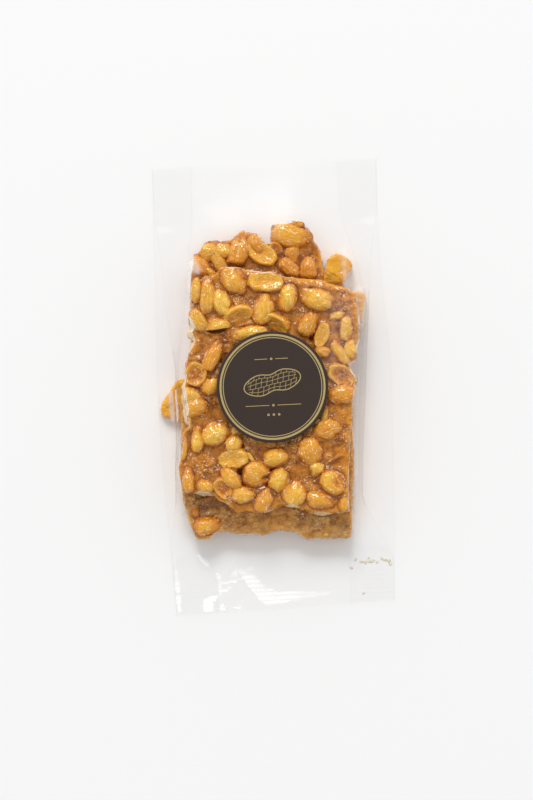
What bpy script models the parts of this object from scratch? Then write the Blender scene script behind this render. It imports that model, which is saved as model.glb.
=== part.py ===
"""Peanut brittle in a clear gusseted bag, lying on its back, with a round sticker on the front.

Two solids: the bag, which is the sealed film envelope fused with the slabs, shards and peanuts that show
inside it, and the sticker. The sizes below are in millimetres, and each mesh is made in metres with +Z up.
The bag's long side runs along Y, its back lies on z = 0, and the middle of its outline is over the origin.
"""
import math
import random

import bmesh
import bpy
import numpy as np
from mathutils import Matrix, Vector, noise

MM = 0.001

# The bag: where its ends and its sealed fins lie along Y, and the sides of its back panel, as y and x.
END = 102.5
BOTTOM_FIN = -82
TOP_FIN = 78
BACK_LEFT = ((-END, -50.2), (-72, -51.6), (-40, -53.2), (-7, -54), (28, -53.2), (79, -52.2), (END, -51.6))
BACK_RIGHT = ((-END, 50.2), (-64, 51.9), (-23, 53), (5, 54), (28, 52.4), (56, 50.8), (84, 51), (END, 51.6))
BACK_EDGE = ((BOTTOM_FIN, 0.3), (-78, 0.6), (72, 0.6), (TOP_FIN, 0.3))

# The front panel's fold lines, where the side gussets start, as y and x, and how high they stand.
FOLD_LEFT = ((-END, -50.2), (BOTTOM_FIN, -51), (-68, -50.2), (-27, -46), (5, -44.6), (37, -47.9), (62, -49.5),
             (TOP_FIN, -51.8), (END, -51.6))
FOLD_RIGHT = ((-END, 50.2), (BOTTOM_FIN, 51), (-68, 44), (-54, 37.5), (-31, 38.6), (-8, 40.6), (37, 43),
              (56, 46), (TOP_FIN, 50.6), (END, 51.6))
FOLD_HEIGHT = ((BOTTOM_FIN, 0.6), (-72, 5.5), (-50, 8), (-38, 12), (32, 12), (42, 7), (62, 5), (TOP_FIN, 0.6))

# The gusset's inner crease lies this far inside the fold, at this height.
CREASE_DEPTH = ((BOTTOM_FIN, 0.4), (-60, 2.4), (60, 2.4), (TOP_FIN, 0.4))
CREASE_HEIGHT = ((BOTTOM_FIN, 0.45), (-68, 2.2), (62, 2.2), (TOP_FIN, 0.45))

# The film's flat front, kept just under the slabs' tops so that they stand out of it, and its two sides.
FRONT_HEIGHT = ((BOTTOM_FIN, 0.8), (-72, 9.2), (-46, 9.6), (-42, 19.2), (34, 19.2), (38, 7.2), (66, 7.2),
                (TOP_FIN, 0.8))
FRONT_LEFT = ((BOTTOM_FIN, -48), (-72, -36), (-46, -40.5), (-20, -37.5), (0, -37), (20, -32), (50, -31),
              (66, -24), (TOP_FIN, -48))
FRONT_RIGHT = ((BOTTOM_FIN, 48), (-72, 29), (-46, 28.5), (-20, 31), (0, 33), (12, 35), (34, 36), (40, 32),
               (50, 21), (66, 17), (TOP_FIN, 48))
FILM_ROWS = (-END, -92, BOTTOM_FIN, -78, -72, -66, -58, -50, -46, -42, -34, -24, -14, -7, 5, 16, 26, 34, 38,
             44, 52, 60, 66, 72, TOP_FIN, 90, END)

# The brittle: levels of the flat faces of the two layers.
SLAB_BOTTOM = 0.4
LOWER_SLAB_TOP = 11.0
BACK_SLAB_TOP = 8.2
TOP_SLAB_BOTTOM = 10.2
TOP_SLAB_TOP = 20.4
SLAB_DRAFT = 1.012
SURFACE_RELIEF = 0.45
RELIEF_SPACING = 9.0

# Outlines of the slabs, each as four sides: left and right run up, bottom and top run to the right.
TOP_SLAB = dict(
    left=((-44, -45.5), (-45, -34.5), (-42.5, -24.5), (-42, -19), (-39, -16.5), (-40.5, -4.5), (-41, 0),
          (-39.5, 8), (-37.5, 17), (-34.5, 23.5), (-36.5, 32.5), (-35, 38), (-35, 49)),
    right=((30.5, -58), (30.5, -48.5), (31.5, -35), (33.5, -17), (35.5, -3.5), (36, 1.5), (34, 6.5), (37, 11),
           (38.5, 23.5), (38.5, 40)),
    bottom=((-44, -45.5), (-36, -46), (-30, -47.5), (-25.5, -51), (-19.5, -56), (-8.5, -57), (-3, -55),
            (-0.5, -53.5), (8.5, -55), (18.5, -58), (30.5, -58)),
    top=((-35, 49), (-30, 49.5), (-25, 51), (-22, 54.5), (-14, 53.5), (1, 51), (5.5, 49), (19, 47), (30.5, 43.5),
         (38.5, 40)))
LOWER_SLAB = dict(
    left=((-38.5, -68), (-40.5, -64), (-44, -50), (-44, -30), (-43, -2)),
    right=((31, -70.5), (32, -62.5), (33, -50), (34, -30), (35, -2)),
    bottom=((-38.5, -68), (-33, -67.5), (-29.5, -65), (-19, -66.5), (-9, -67.5), (0.5, -65.5), (7, -67),
            (11.5, -70), (31, -70.5)),
    top=((-43, -2), (-20, -4), (5, -1), (35, -2)))
BACK_SLAB = dict(
    left=((-38, 3), (-37, 30), (-36, 50), (-34.5, 58), (-31, 63.5), (-29, 66.5)),
    right=((34, 2), (30, 25), (25.5, 48), (24, 55.5), (22, 64), (17.5, 71)),
    bottom=((-38, 3), (-10, 1), (10, 3), (34, 2)),
    top=((-29, 66.5), (-23.5, 67), (-17.5, 67.5), (-11.5, 71.5), (-4.5, 69), (-1.5, 65), (2, 66), (3.5, 72.5),
         (11.5, 74.2), (17.5, 71)))

# Small broken pieces: outline, bottom and top. Their tops are a little smaller than their bottoms.
SHARD_LEAN = 0.94
LEFT_SHARD = (((-52.5, -9), (-51, -11.5), (-45, -14), (-38, -16), (-38, 4.5), (-44.5, 4.5), (-49.5, -2), (-52, -6)),
              0.4, 6.0)
RIGHT_SHARD = (((26, 48), (33, 45.5), (35, 49), (38, 53.5), (36.5, 56), (31.5, 59), (27, 56.5)), 0.4, 9.4)
EDGE_SHARD = (((35, 24), (41, 27.5), (41.8, 33), (42.5, 39), (38.5, 43), (34, 40)), 0.4, 10.2)

# Peanuts: x, y, length, width, turn in degrees, and how each one broke.
WHOLE, SPLIT, COATED = "whole", "split", "coated"
TOP_PEANUTS = (
    (-15.5, 47.5, 14, 11, -60, WHOLE), (-2, 47.5, 15, 10, -5, WHOLE), (-33.5, 44, 11, 6.5, 85, WHOLE),
    (-29, 42, 14.5, 6.5, 85, WHOLE), (-22, 38.5, 12, 7.5, -75, WHOLE), (-4, 35.5, 13, 9, 80, WHOLE),
    (9.5, 40, 12.5, 9, 85, COATED), (21, 39, 14.5, 9, -23, WHOLE), (-14.5, 31.5, 12.5, 7.5, 15, WHOLE),
    (-32.5, 31, 10, 6.5, -63, WHOLE), (-25, 26.5, 11, 6, 0, SPLIT), (-10.5, 24, 15, 8.5, -8, WHOLE),
    (3, 28, 9, 6.5, -38, WHOLE), (16, 27, 11, 8.5, 67, WHOLE), (21.5, 21, 10.5, 6.5, 72, SPLIT),
    (30, 30, 7, 5, 17, WHOLE), (32.5, 24, 8, 6.5, 67, COATED), (30, 13, 12.5, 6.5, -53, WHOLE),
    (34.5, 14.5, 10, 7, -63, WHOLE), (30.5, 3.5, 12.5, 10, -33, SPLIT), (21, 13.5, 9, 6.5, 7, WHOLE),
    (30, -4.5, 12.5, 9, 2, WHOLE), (-27.5, 14, 14.5, 7.5, 59, WHOLE), (-35.5, 4.5, 11, 8, 7, SPLIT),
    (-29, 0, 11, 7.5, 57, WHOLE), (-35, -6.5, 12.5, 10, -23, SPLIT), (-28, -21, 12.5, 10, 37, WHOLE),
    (-36.5, -25, 13, 6.5, 85, WHOLE), (-20, -24.5, 8, 6.5, 42, COATED), (-42.5, -27, 11, 4.5, 77, WHOLE),
    (-20, -32.5, 12, 8.5, 2, SPLIT), (-13, -30.5, 8, 4.5, -53, WHOLE), (-1, -33, 11, 9.5, 7, COATED),
    (14.5, -29, 12, 10.5, -63, COATED), (10, -26, 6, 3, 85, WHOLE), (23.5, -20.5, 11.5, 10, 27, COATED),
    (21, -14.5, 8, 4, 67, SPLIT), (25.5, -30.5, 8, 5.5, 7, COATED), (-11, -39.5, 11.5, 11, -3, WHOLE),
    (-22, -41, 11, 6.5, -45, SPLIT), (-0.5, -43.5, 11, 9, -63, WHOLE), (-41, -40.5, 11.5, 6.5, 85, WHOLE),
    (-33.5, -44, 8, 7, -3, WHOLE), (-25.5, -44.5, 11.5, 8, -63, SPLIT), (-15.5, -48.5, 11, 9, 7, WHOLE),
    (-8, -51, 11.5, 10, -73, COATED), (5, -49.5, 11, 11, 57, COATED), (17, -52.5, 13.5, 10, -15, WHOLE),
    (24.5, -46, 13, 11, -43, SPLIT), (28, -55, 7, 6, 77, WHOLE), (16.5, -39.5, 7, 5, 67, WHOLE),
    (33.5, 38, 8, 7, 57, COATED), (-2, -27, 8, 5, -3, WHOLE))
BACK_PEANUTS = (
    (-26.5, 64, 8, 6.5, 17, WHOLE), (-25.5, 57, 12.5, 6, -63, WHOLE), (-31, 55.5, 12, 8, -53, COATED),
    (-19, 63.5, 7.5, 5.5, 85, WHOLE), (-13.5, 64, 12.5, 7.5, 77, WHOLE), (-5, 65.5, 10, 8, -53, COATED),
    (-3, 60, 12, 6, -18, SPLIT), (10.5, 68, 18, 10.5, -15, WHOLE), (14, 72, 5.5, 4.5, -3, WHOLE),
    (12.5, 60.5, 7.5, 6, -83, WHOLE), (10, 53.5, 12, 6, -38, WHOLE), (17.5, 53, 11, 7.5, 77, WHOLE))
LOWER_PEANUTS = ((-35, -62.5, 11.5, 9.5, 12, COATED), (-39, -56.5, 6.5, 4, -73, COATED),
                 (-20, -60.5, 6.5, 4.5, -53, WHOLE), (-1.5, -62, 9, 5, 12, COATED))
PEANUT_THICKNESS = 0.82
PEANUT_CROWN = (1.0, 0.27)
SPLIT_CROWN_LESS = 0.5
SPLIT_LEVEL = 0.42
GROOVE_DEPTH = 0.3
PEANUT_TAPER = 0.14
PEANUT_TILT = 9.0
PEANUT_SEED = 11
CUT_STANDS_OUT = 0.3
LOWER_PEANUTS_SINK = 1.5

# The sticker, and the flat pad of film under it.
LABEL_X = -1.2
LABEL_Y = -0.5
LABEL_RADIUS = 25.0
LABEL_THICKNESS = 0.4
LABEL_GAP = 0.3
PAD_TOP = 24.0
PAD_TOP_RADIUS = 24.4
PAD_FOOT = 19.6
PAD_FOOT_RADIUS = 26.4


def clear_scene():
    for item in list(bpy.data.objects):
        bpy.data.objects.remove(item)


def make_material(name, colour, roughness, alpha=1.0):
    """A Principled material with a linear RGB colour."""
    material = bpy.data.materials.new(name)
    material.use_nodes = True
    shader = material.node_tree.nodes["Principled BSDF"]
    shader.inputs["Base Color"].default_value = (*colour, 1.0)
    shader.inputs["Roughness"].default_value = roughness
    shader.inputs["Metallic"].default_value = 0.0
    shader.inputs["Alpha"].default_value = alpha
    return material


def link_mesh(name, points, faces, collection):
    """A new object from points in millimetres."""
    mesh = bpy.data.meshes.new(name)
    mesh.from_pydata([tuple(co * MM for co in point) for point in points], [], faces)
    mesh.update()
    item = bpy.data.objects.new(name, mesh)
    collection.objects.link(item)
    return item


def side_points(points, count):
    """A side of an outline as count points, evenly spaced along the polyline through its few points."""
    line = np.array(points, dtype=float)
    along = np.concatenate(([0.0], np.cumsum(np.hypot(*np.diff(line, axis=0).T))))
    at = np.linspace(0.0, along[-1], count)
    return np.column_stack([np.interp(at, along, line[:, axis]) for axis in (0, 1)])


def sheet_between(sides, columns, rows):
    """A grid of places inside four sides: the two ruled surfaces between facing sides, added, less the
    bilinear surface through the four corners."""
    bottom = side_points(sides["bottom"], columns)
    top = side_points(sides["top"], columns)
    left = side_points(sides["left"], rows)[:, None]
    right = side_points(sides["right"], rows)[:, None]
    u = np.linspace(0, 1, columns)[None, :, None]
    v = np.linspace(0, 1, rows)[:, None, None]
    across = (1 - u) * left + u * right
    along = (1 - v) * bottom[None] + v * top[None]
    corners = ((1 - u) * (1 - v) * bottom[0] + u * (1 - v) * bottom[-1]
               + (1 - u) * v * top[0] + u * v * top[-1])
    return across + along - corners


def outline_of(sides):
    """The closed outline, anticlockwise, of four sides."""
    runs = (sides["bottom"], sides["right"], sides["top"][::-1], sides["left"][::-1])
    return [point for run in runs for point in run[:-1]]


def make_slab(name, sides, low, high, columns, rows, collection):
    """A slab: a top grid with gentle relief, the same grid a little wider as the bottom, and its walls."""
    grid = sheet_between(sides, columns, rows)
    middle = grid.reshape(-1, 2).mean(axis=0)
    points = []
    for x, y in grid.reshape(-1, 2):
        bump = noise.noise(Vector((x, y, high)) / RELIEF_SPACING)
        points.append((x, y, high + SURFACE_RELIEF * bump))
    for x, y in (grid.reshape(-1, 2) - middle) * SLAB_DRAFT + middle:
        points.append((x, y, low))
    count = columns * rows
    faces = []
    for row in range(rows - 1):
        for column in range(columns - 1):
            a = row * columns + column
            b, c, d = a + 1, a + columns + 1, a + columns
            faces += [(a, b, c), (a, c, d), (a + count, c + count, b + count), (a + count, d + count, c + count)]
    rim = list(range(columns))
    rim += [row * columns + columns - 1 for row in range(1, rows)]
    rim += [(rows - 1) * columns + column for column in range(columns - 2, -1, -1)]
    rim += [row * columns for row in range(rows - 2, 0, -1)]
    for here, there in zip(rim, rim[1:] + rim[:1]):
        faces += [(here, here + count, there + count), (here, there + count, there)]
    return link_mesh(name, points, faces, collection)


def make_shard(name, outline, low, high, collection):
    """A small broken piece: a prism whose top leans in a little."""
    middle = np.mean(outline, axis=0)
    points = [(x, y, low) for x, y in outline]
    points += [(*(middle + (np.array(place) - middle) * SHARD_LEAN), high) for place in outline]
    count = len(outline)
    faces = [tuple(range(count - 1, -1, -1)), tuple(range(count, 2 * count))]
    faces += [(i, (i + 1) % count, (i + 1) % count + count, i + count) for i in range(count)]
    return link_mesh(name, points, faces, collection)


def nearest_on(outline, place):
    """The point of a closed outline nearest to a place."""
    best = None
    for a, b in zip(outline, outline[1:] + outline[:1]):
        start = Vector(a)
        step = Vector(b) - start
        share = min(max((Vector(place) - start).dot(step) / step.length_squared, 0.0), 1.0)
        found = start + share * step
        if best is None or (found - Vector(place)).length < (best - Vector(place)).length:
            best = found
    return best


def make_peanut(name, peanut, surface, outline, lucky, collection):
    """One peanut, half sunk in the caramel: an egg shape that narrows to one end. A split one is flat on
    top with a groove, one that crosses the slab's broken edge is cut there, and none beside the sticker
    stands higher than the film under it."""
    x, y, length, width, turn, kind = peanut
    thickness = width * PEANUT_THICKNESS
    crown = PEANUT_CROWN[0] + PEANUT_CROWN[1] * width
    if kind == SPLIT:
        crown -= SPLIT_CROWN_LESS
    if math.dist((x, y), (LABEL_X, LABEL_Y)) < LABEL_RADIUS + length / 2:
        crown = min(crown, PAD_TOP - LABEL_GAP / 2 - surface)
    shape = bmesh.new()
    bmesh.ops.create_icosphere(shape, subdivisions=2, radius=1.0)
    for vertex in shape.verts:
        u, v, w = vertex.co
        narrow = 1.0 - PEANUT_TAPER * u
        if kind == SPLIT:
            groove = GROOVE_DEPTH * (1 - u * u) * math.exp(-(v / GROOVE_DEPTH) ** 2)
            w = min(w, SPLIT_LEVEL) - (groove if w > GROOVE_DEPTH else 0.0)
        vertex.co = Vector((u * length / 2, v * narrow * width / 2, w * narrow * thickness / 2))
    top = max(vertex.co.z for vertex in shape.verts)
    tilt = Matrix.Rotation(math.radians(lucky.uniform(-PEANUT_TILT, PEANUT_TILT)), 4, "X")
    tilt @= Matrix.Rotation(math.radians(lucky.uniform(-PEANUT_TILT, PEANUT_TILT)), 4, "Y")
    place = Matrix.Translation((x, y, surface + crown - top)) @ Matrix.Rotation(math.radians(turn), 4, "Z") @ tilt
    bmesh.ops.transform(shape, matrix=place, verts=shape.verts)
    near = nearest_on(outline, (x, y))
    away = near - Vector((x, y))
    if away.length < length / 2 + 1:
        way = away.normalized()
        plane = near + way * CUT_STANDS_OUT
        whole = shape.verts[:] + shape.edges[:] + shape.faces[:]
        cut = bmesh.ops.bisect_plane(shape, geom=whole, plane_co=(plane.x, plane.y, surface),
                                     plane_no=(way.x, way.y, 0), clear_outer=True)
        loop = [part for part in cut["geom_cut"] if isinstance(part, bmesh.types.BMEdge)]
        if loop:
            bmesh.ops.holes_fill(shape, edges=loop)
    bmesh.ops.recalc_face_normals(shape, faces=shape.faces)
    bmesh.ops.scale(shape, vec=(MM, MM, MM), verts=shape.verts)
    mesh = bpy.data.meshes.new(name)
    shape.to_mesh(mesh)
    shape.free()
    item = bpy.data.objects.new(name, mesh)
    collection.objects.link(item)
    return item


def along(profile, y):
    """A profile's value at y: straight between its few points and level past its ends."""
    return float(np.interp(y, [point[0] for point in profile], [point[1] for point in profile]))


def film_section(y):
    """The bag's cross-section at y, anticlockwise seen from the front: the flat back, the right gusset's
    crease between the back edge and the front fold, the flat front, and the left gusset the same."""
    back_left, back_right = along(BACK_LEFT, y), along(BACK_RIGHT, y)
    fold_left, fold_right = along(FOLD_LEFT, y), along(FOLD_RIGHT, y)
    front_left, front_right = along(FRONT_LEFT, y), along(FRONT_RIGHT, y)
    depth, crease_height = along(CREASE_DEPTH, y), along(CREASE_HEIGHT, y)
    fold_height, front_height = along(FOLD_HEIGHT, y), along(FRONT_HEIGHT, y)
    edge = along(BACK_EDGE, y)
    crease_left = max(back_left, fold_left) + depth
    crease_right = min(back_right, fold_right) - depth
    return [(back_left, y, 0.0), (back_right, y, 0.0), (back_right, y, edge), (crease_right, y, crease_height),
            (fold_right, y, fold_height), (front_right, y, front_height), (front_left, y, front_height),
            (fold_left, y, fold_height), (crease_left, y, crease_height), (back_left, y, edge)]


def make_film(name, collection):
    """The sealed envelope: its cross-sections joined row by row, with a flat end face at each fin."""
    points = [point for y in FILM_ROWS for point in film_section(y)]
    count = len(film_section(0.0))
    last = (len(FILM_ROWS) - 1) * count
    faces = [tuple(range(count)), tuple(range(last + count - 1, last - 1, -1))]
    for row in range(len(FILM_ROWS) - 1):
        for corner in range(count):
            a = row * count + corner
            b = row * count + (corner + 1) % count
            faces.append((a, a + count, b + count, b))
    return link_mesh(name, points, faces, collection)


def make_disc(name, low, high, low_radius, high_radius, sides, collection):
    """A round piece over the sticker's place, from one radius to another."""
    shape = bmesh.new()
    bmesh.ops.create_cone(shape, cap_ends=True, segments=sides, radius1=low_radius * MM,
                          radius2=high_radius * MM, depth=(high - low) * MM)
    bmesh.ops.translate(shape, vec=(LABEL_X * MM, LABEL_Y * MM, (low + high) / 2 * MM), verts=shape.verts)
    mesh = bpy.data.meshes.new(name)
    shape.to_mesh(mesh)
    shape.free()
    item = bpy.data.objects.new(name, mesh)
    collection.objects.link(item)
    return item


def faces_outward(item):
    shape = bmesh.new()
    shape.from_mesh(item.data)
    bmesh.ops.recalc_face_normals(shape, faces=shape.faces)
    shape.to_mesh(item.data)
    shape.free()


def fuse(base, pieces):
    """One Boolean union of the base with a collection of pieces, applied, after which they are removed."""
    bpy.context.view_layer.update()
    union = base.modifiers.new("fuse", "BOOLEAN")
    union.operation = "UNION"
    union.operand_type = "COLLECTION"
    union.collection = pieces
    union.solver = "EXACT"
    graph = bpy.context.evaluated_depsgraph_get()
    joined = bpy.data.meshes.new_from_object(base.evaluated_get(graph), depsgraph=graph)
    base.modifiers.clear()
    base.data = joined
    for item in list(pieces.objects):
        bpy.data.objects.remove(item)
    bpy.data.collections.remove(pieces)


def keep_outer_skin(item):
    """Keeps the mesh's largest connected part, so a sealed hollow is filled and a loose scrap dropped."""
    shape = bmesh.new()
    shape.from_mesh(item.data)
    bmesh.ops.remove_doubles(shape, verts=shape.verts, dist=0.00002)
    bmesh.ops.dissolve_degenerate(shape, edges=shape.edges, dist=0.00001)
    bmesh.ops.triangulate(shape, faces=shape.faces)
    waiting = set(shape.verts)
    parts = []
    while waiting:
        queue = [waiting.pop()]
        part = set(queue)
        while queue:
            for edge in queue.pop().link_edges:
                for other in edge.verts:
                    if other not in part:
                        part.add(other)
                        queue.append(other)
        waiting -= part
        parts.append(part)
    parts.sort(key=len)
    for part in parts[:-1]:
        bmesh.ops.delete(shape, geom=list(part), context="VERTS")
    bmesh.ops.recalc_face_normals(shape, faces=shape.faces)
    shape.to_mesh(item.data)
    shape.free()


def build_bag():
    """The film envelope fused with everything that shows in it."""
    scene = bpy.context.scene.collection
    pieces = bpy.data.collections.new("contents")
    scene.children.link(pieces)
    make_slab("lower slab", LOWER_SLAB, SLAB_BOTTOM, LOWER_SLAB_TOP, 12, 8, pieces)
    make_slab("back slab", BACK_SLAB, SLAB_BOTTOM, BACK_SLAB_TOP, 14, 9, pieces)
    make_slab("top slab", TOP_SLAB, TOP_SLAB_BOTTOM, TOP_SLAB_TOP, 20, 26, pieces)
    for name, shard in (("left shard", LEFT_SHARD), ("right shard", RIGHT_SHARD), ("edge shard", EDGE_SHARD)):
        make_shard(name, *shard, pieces)
    make_disc("pad", PAD_FOOT, PAD_TOP, PAD_FOOT_RADIUS, PAD_TOP_RADIUS, 40, pieces)
    lucky = random.Random(PEANUT_SEED)
    groups = ((TOP_PEANUTS, TOP_SLAB, TOP_SLAB_TOP), (BACK_PEANUTS, BACK_SLAB, BACK_SLAB_TOP),
              (LOWER_PEANUTS, LOWER_SLAB, LOWER_SLAB_TOP - LOWER_PEANUTS_SINK))
    for peanuts, sides, surface in groups:
        for peanut in peanuts:
            make_peanut("peanut", peanut, surface, outline_of(sides), lucky, pieces)
    bag = make_film("bag", scene)
    for item in [bag, *pieces.objects]:
        faces_outward(item)
    fuse(bag, pieces)
    keep_outer_skin(bag)
    bag.data.materials.clear()
    bag.data.materials.append(make_material("brittle in clear film", (0.52, 0.22, 0.06), 0.3))
    bag.data.shade_smooth()
    bag.data.set_sharp_from_angle(angle=math.radians(35))


def build_label():
    """The round paper sticker on the pad."""
    low = PAD_TOP + LABEL_GAP
    label = make_disc("label", low, low + LABEL_THICKNESS, LABEL_RADIUS, LABEL_RADIUS, 64,
                      bpy.context.scene.collection)
    label.data.materials.append(make_material("dark brown paper", (0.055, 0.04, 0.03), 0.5))
    label.data.shade_smooth()
    label.data.set_sharp_from_angle(angle=math.radians(35))


clear_scene()
build_bag()
build_label()
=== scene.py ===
"""Looks of a pack of peanut brittle: broken slabs of caramel and peanuts in a clear gusseted film bag, with a
round brown sticker. Shapes are worked out in millimetres in the part's own frame and become metres in the
meshes."""
import math
from functools import partial

import bpy
import numpy as np
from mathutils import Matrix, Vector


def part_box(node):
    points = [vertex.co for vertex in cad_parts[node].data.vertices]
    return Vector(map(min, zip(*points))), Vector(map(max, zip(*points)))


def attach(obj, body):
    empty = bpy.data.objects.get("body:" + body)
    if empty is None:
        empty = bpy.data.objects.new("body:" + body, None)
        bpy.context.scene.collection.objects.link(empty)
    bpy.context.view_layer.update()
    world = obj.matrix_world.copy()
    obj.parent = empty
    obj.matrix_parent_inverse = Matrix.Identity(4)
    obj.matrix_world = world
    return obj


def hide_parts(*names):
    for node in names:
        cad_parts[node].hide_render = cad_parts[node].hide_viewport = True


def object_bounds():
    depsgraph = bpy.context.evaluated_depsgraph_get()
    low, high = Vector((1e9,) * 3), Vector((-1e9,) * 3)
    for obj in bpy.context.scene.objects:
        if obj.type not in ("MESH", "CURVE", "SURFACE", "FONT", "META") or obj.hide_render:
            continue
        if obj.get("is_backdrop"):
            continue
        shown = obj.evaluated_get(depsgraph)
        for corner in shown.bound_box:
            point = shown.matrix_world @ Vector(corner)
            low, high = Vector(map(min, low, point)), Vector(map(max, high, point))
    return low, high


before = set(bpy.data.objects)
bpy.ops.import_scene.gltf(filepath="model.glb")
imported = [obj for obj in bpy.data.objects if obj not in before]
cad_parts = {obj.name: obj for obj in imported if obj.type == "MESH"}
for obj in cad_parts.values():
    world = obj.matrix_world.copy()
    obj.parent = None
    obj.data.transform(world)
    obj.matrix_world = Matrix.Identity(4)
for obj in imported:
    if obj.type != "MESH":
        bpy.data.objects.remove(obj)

cad_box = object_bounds()

# The lower slab of brittle. Caramel boiled with roasted peanuts, poured on a tray and broken when cold: this
# one lies with the face that set on the tray upwards, so it is flat and dull.
MM = 0.001
SLAB_BOTTOM = 0.5
LOWER_TOP = 11.0
LOWER_SIDES = dict(
    left=((-38.5, -68), (-39.5, -66.5), (-40.5, -64), (-42, -59), (-43, -54.5), (-44, -50), (-44.5, -46),
          (-44, -30), (-43, -2)),
    right=((31, -70.5), (32, -62.5), (32.5, -53.5), (34, -39), (34, -30), (35, -2)),
    bottom=((-38.5, -68), (-35, -68.2), (-33, -67.5), (-29.5, -65), (-23.5, -65.5), (-19, -66.5), (-12, -66.5),
            (-9, -67.5), (-5.5, -66.5), (-2.5, -65.5), (3.5, -66), (7, -67), (11.5, -70), (17, -70),
            (25.5, -70.5), (28.5, -71), (31, -70.5)),
    top=((-43, -2), (-30, -3), (-20, -4), (5, -1), (20, -2.5), (35, -2)))
DOME, HALF, SIDE, OPEN, DIMPLE, SPLIT, TIP = "dome", "half", "side", "open", "dimple", "split", "tip"
ROUGH, COATED, SUNK, CHIP, LOBED, EDGE, CRUMB = "rough", "coated", "sunk", "chip", "lobed", "edge", "crumb"
LOWER_PEANUTS = ((-34, -62.5, 12, 9.5, 10, DOME), (-39, -56.5, 6.5, 6, -75, SUNK),
                 (20, -68.7, 2.5, 1.6, 5, CHIP))


def linear(code):
    """A hex sRGB colour as linear red, green, blue and alpha: each channel by the sRGB curve."""
    parts = [int(code[i:i + 2], 16) / 255 for i in (0, 2, 4)]
    return (*[part / 12.92 if part <= 0.04045 else ((part + 0.055) / 1.055) ** 2.4 for part in parts], 1.0)


def add_node(tree, kind, *values, out=None, **parts):
    """Adds one node, its operation named after a dot, and gives its first output in use, or the one called
    out. Parts in small letters are its settings, the others its inputs by name, with _ for a space; values
    fill its inputs in use in order. A value is a number, a hex colour or the socket that feeds it."""
    kind, _, operation = kind.partition(".")
    made = tree.nodes.new("ShaderNode" + kind)
    if operation:
        made.operation = operation
    for name, value in parts.items():
        if name.islower():
            setattr(made, name, value)
    sockets = [socket for socket in made.inputs if socket.enabled]
    fed = list(zip(sockets, values))
    fed += [(next(socket for socket in sockets if socket.name == name.replace("_", " ")), value)
            for name, value in parts.items() if not name.islower()]
    for socket, value in fed:
        if isinstance(value, bpy.types.NodeSocket):
            tree.links.new(value, socket)
        else:
            socket.default_value = linear(value) if isinstance(value, str) else value
    return made.outputs[out] if out else next((socket for socket in made.outputs if socket.enabled), None)


def new_material(name):
    """An empty node material, and add_node for its own tree."""
    material = bpy.data.materials.new(name)
    material.use_nodes = True
    material.node_tree.nodes.clear()
    return material, partial(add_node, material.node_tree)


def laid_over(add, colour, layers):
    """Colours laid over a first one, each by its share from 0 to 1."""
    for share, over in layers:
        colour = add("Mix", share, colour, over, data_type="RGBA")
    return colour


def smooth_step(value, low, high):
    """0 under low, 1 over high, and 3t^2 - 2t^3 between."""
    t = np.clip((value - low) / (high - low), 0, 1)
    return t * t * (3 - 2 * t)


def noise(x, y, size, seed):
    """Smooth noise from -1 to 1: random values on a square lattice of that cell size, blended by
    6t^5 - 15t^4 + 10t^3 along each side of a cell."""
    table = np.random.default_rng(seed).uniform(-1, 1, (97, 89))
    u, v = np.asarray(x) / size, np.asarray(y) / size
    i, j = np.floor(u).astype(int), np.floor(v).astype(int)
    s, t = u - i, v - j
    s, t = s ** 3 * (s * (6 * s - 15) + 10), t ** 3 * (t * (6 * t - 15) + 10)
    corner = lambda a, b: table[(i + a) % 97, (j + b) % 89]
    low = corner(0, 0) * (1 - s) + corner(1, 0) * s
    high = corner(0, 1) * (1 - s) + corner(1, 1) * s
    return low * (1 - t) + high * t


AROUND = [(a, b) for a in (-1, 0, 1) for b in (-1, 0, 1)]


def bubble_field(x, y, size, seed):
    """Bubbles, one at a random place in each square cell: how deep a point lies in the nearest one, as
    1 - (distance / radius)^2, and less than 0 outside, with a random radius for each."""
    place_x, place_y, radius = np.random.default_rng(seed).uniform(0.15, 0.85, (3, 61, 67))
    i, j = np.floor(x / size).astype(int), np.floor(y / size).astype(int)
    best = np.full(np.shape(x), -9.0)
    for a, b in AROUND:
        cell = ((i + a) % 61, (j + b) % 67)
        away = np.hypot(x / size - (i + a) - place_x[cell], y / size - (j + b) - place_y[cell])
        best = np.maximum(best, 1 - (away / (0.12 + 0.4 * radius[cell] ** 2)) ** 2)
    return best


def side_curve(points, count):
    """A side of a slab as count evenly spaced points on the Catmull-Rom curve through its few points."""
    line = np.array(points, float)
    padded = np.vstack([2 * line[0] - line[1], line, 2 * line[-1] - line[-2]])
    t = np.linspace(0, 1, 12, endpoint=False)[:, None]
    runs = []
    for a, b, c, d in zip(padded, padded[1:], padded[2:], padded[3:]):
        runs.append(0.5 * (2 * b + (c - a) * t + (2 * a - 5 * b + 4 * c - d) * t ** 2
                           + (3 * b - a - 3 * c + d) * t ** 3))
    fine = np.vstack(runs + [line[-1:]])
    along = np.concatenate(([0], np.cumsum(np.hypot(*np.diff(fine, axis=0).T))))
    at = np.linspace(0, along[-1], count)
    return np.column_stack([np.interp(at, along, fine[:, axis]) for axis in (0, 1)])


def ruled_sheet(bottom, right, top, left):
    """The grid inside four sides, rows by columns: the two ruled surfaces between facing sides, added, less
    the bilinear surface through the four corners."""
    u = np.linspace(0, 1, len(bottom))[None, :, None]
    v = np.linspace(0, 1, len(left))[:, None, None]
    across = (1 - u) * left[:, None] + u * right[:, None]
    along = (1 - v) * bottom[None] + v * top[None]
    corners = ((1 - u) * (1 - v) * bottom[0] + u * (1 - v) * bottom[-1]
               + (1 - u) * v * top[0] + u * v * top[-1])
    return across + along - corners


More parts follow.
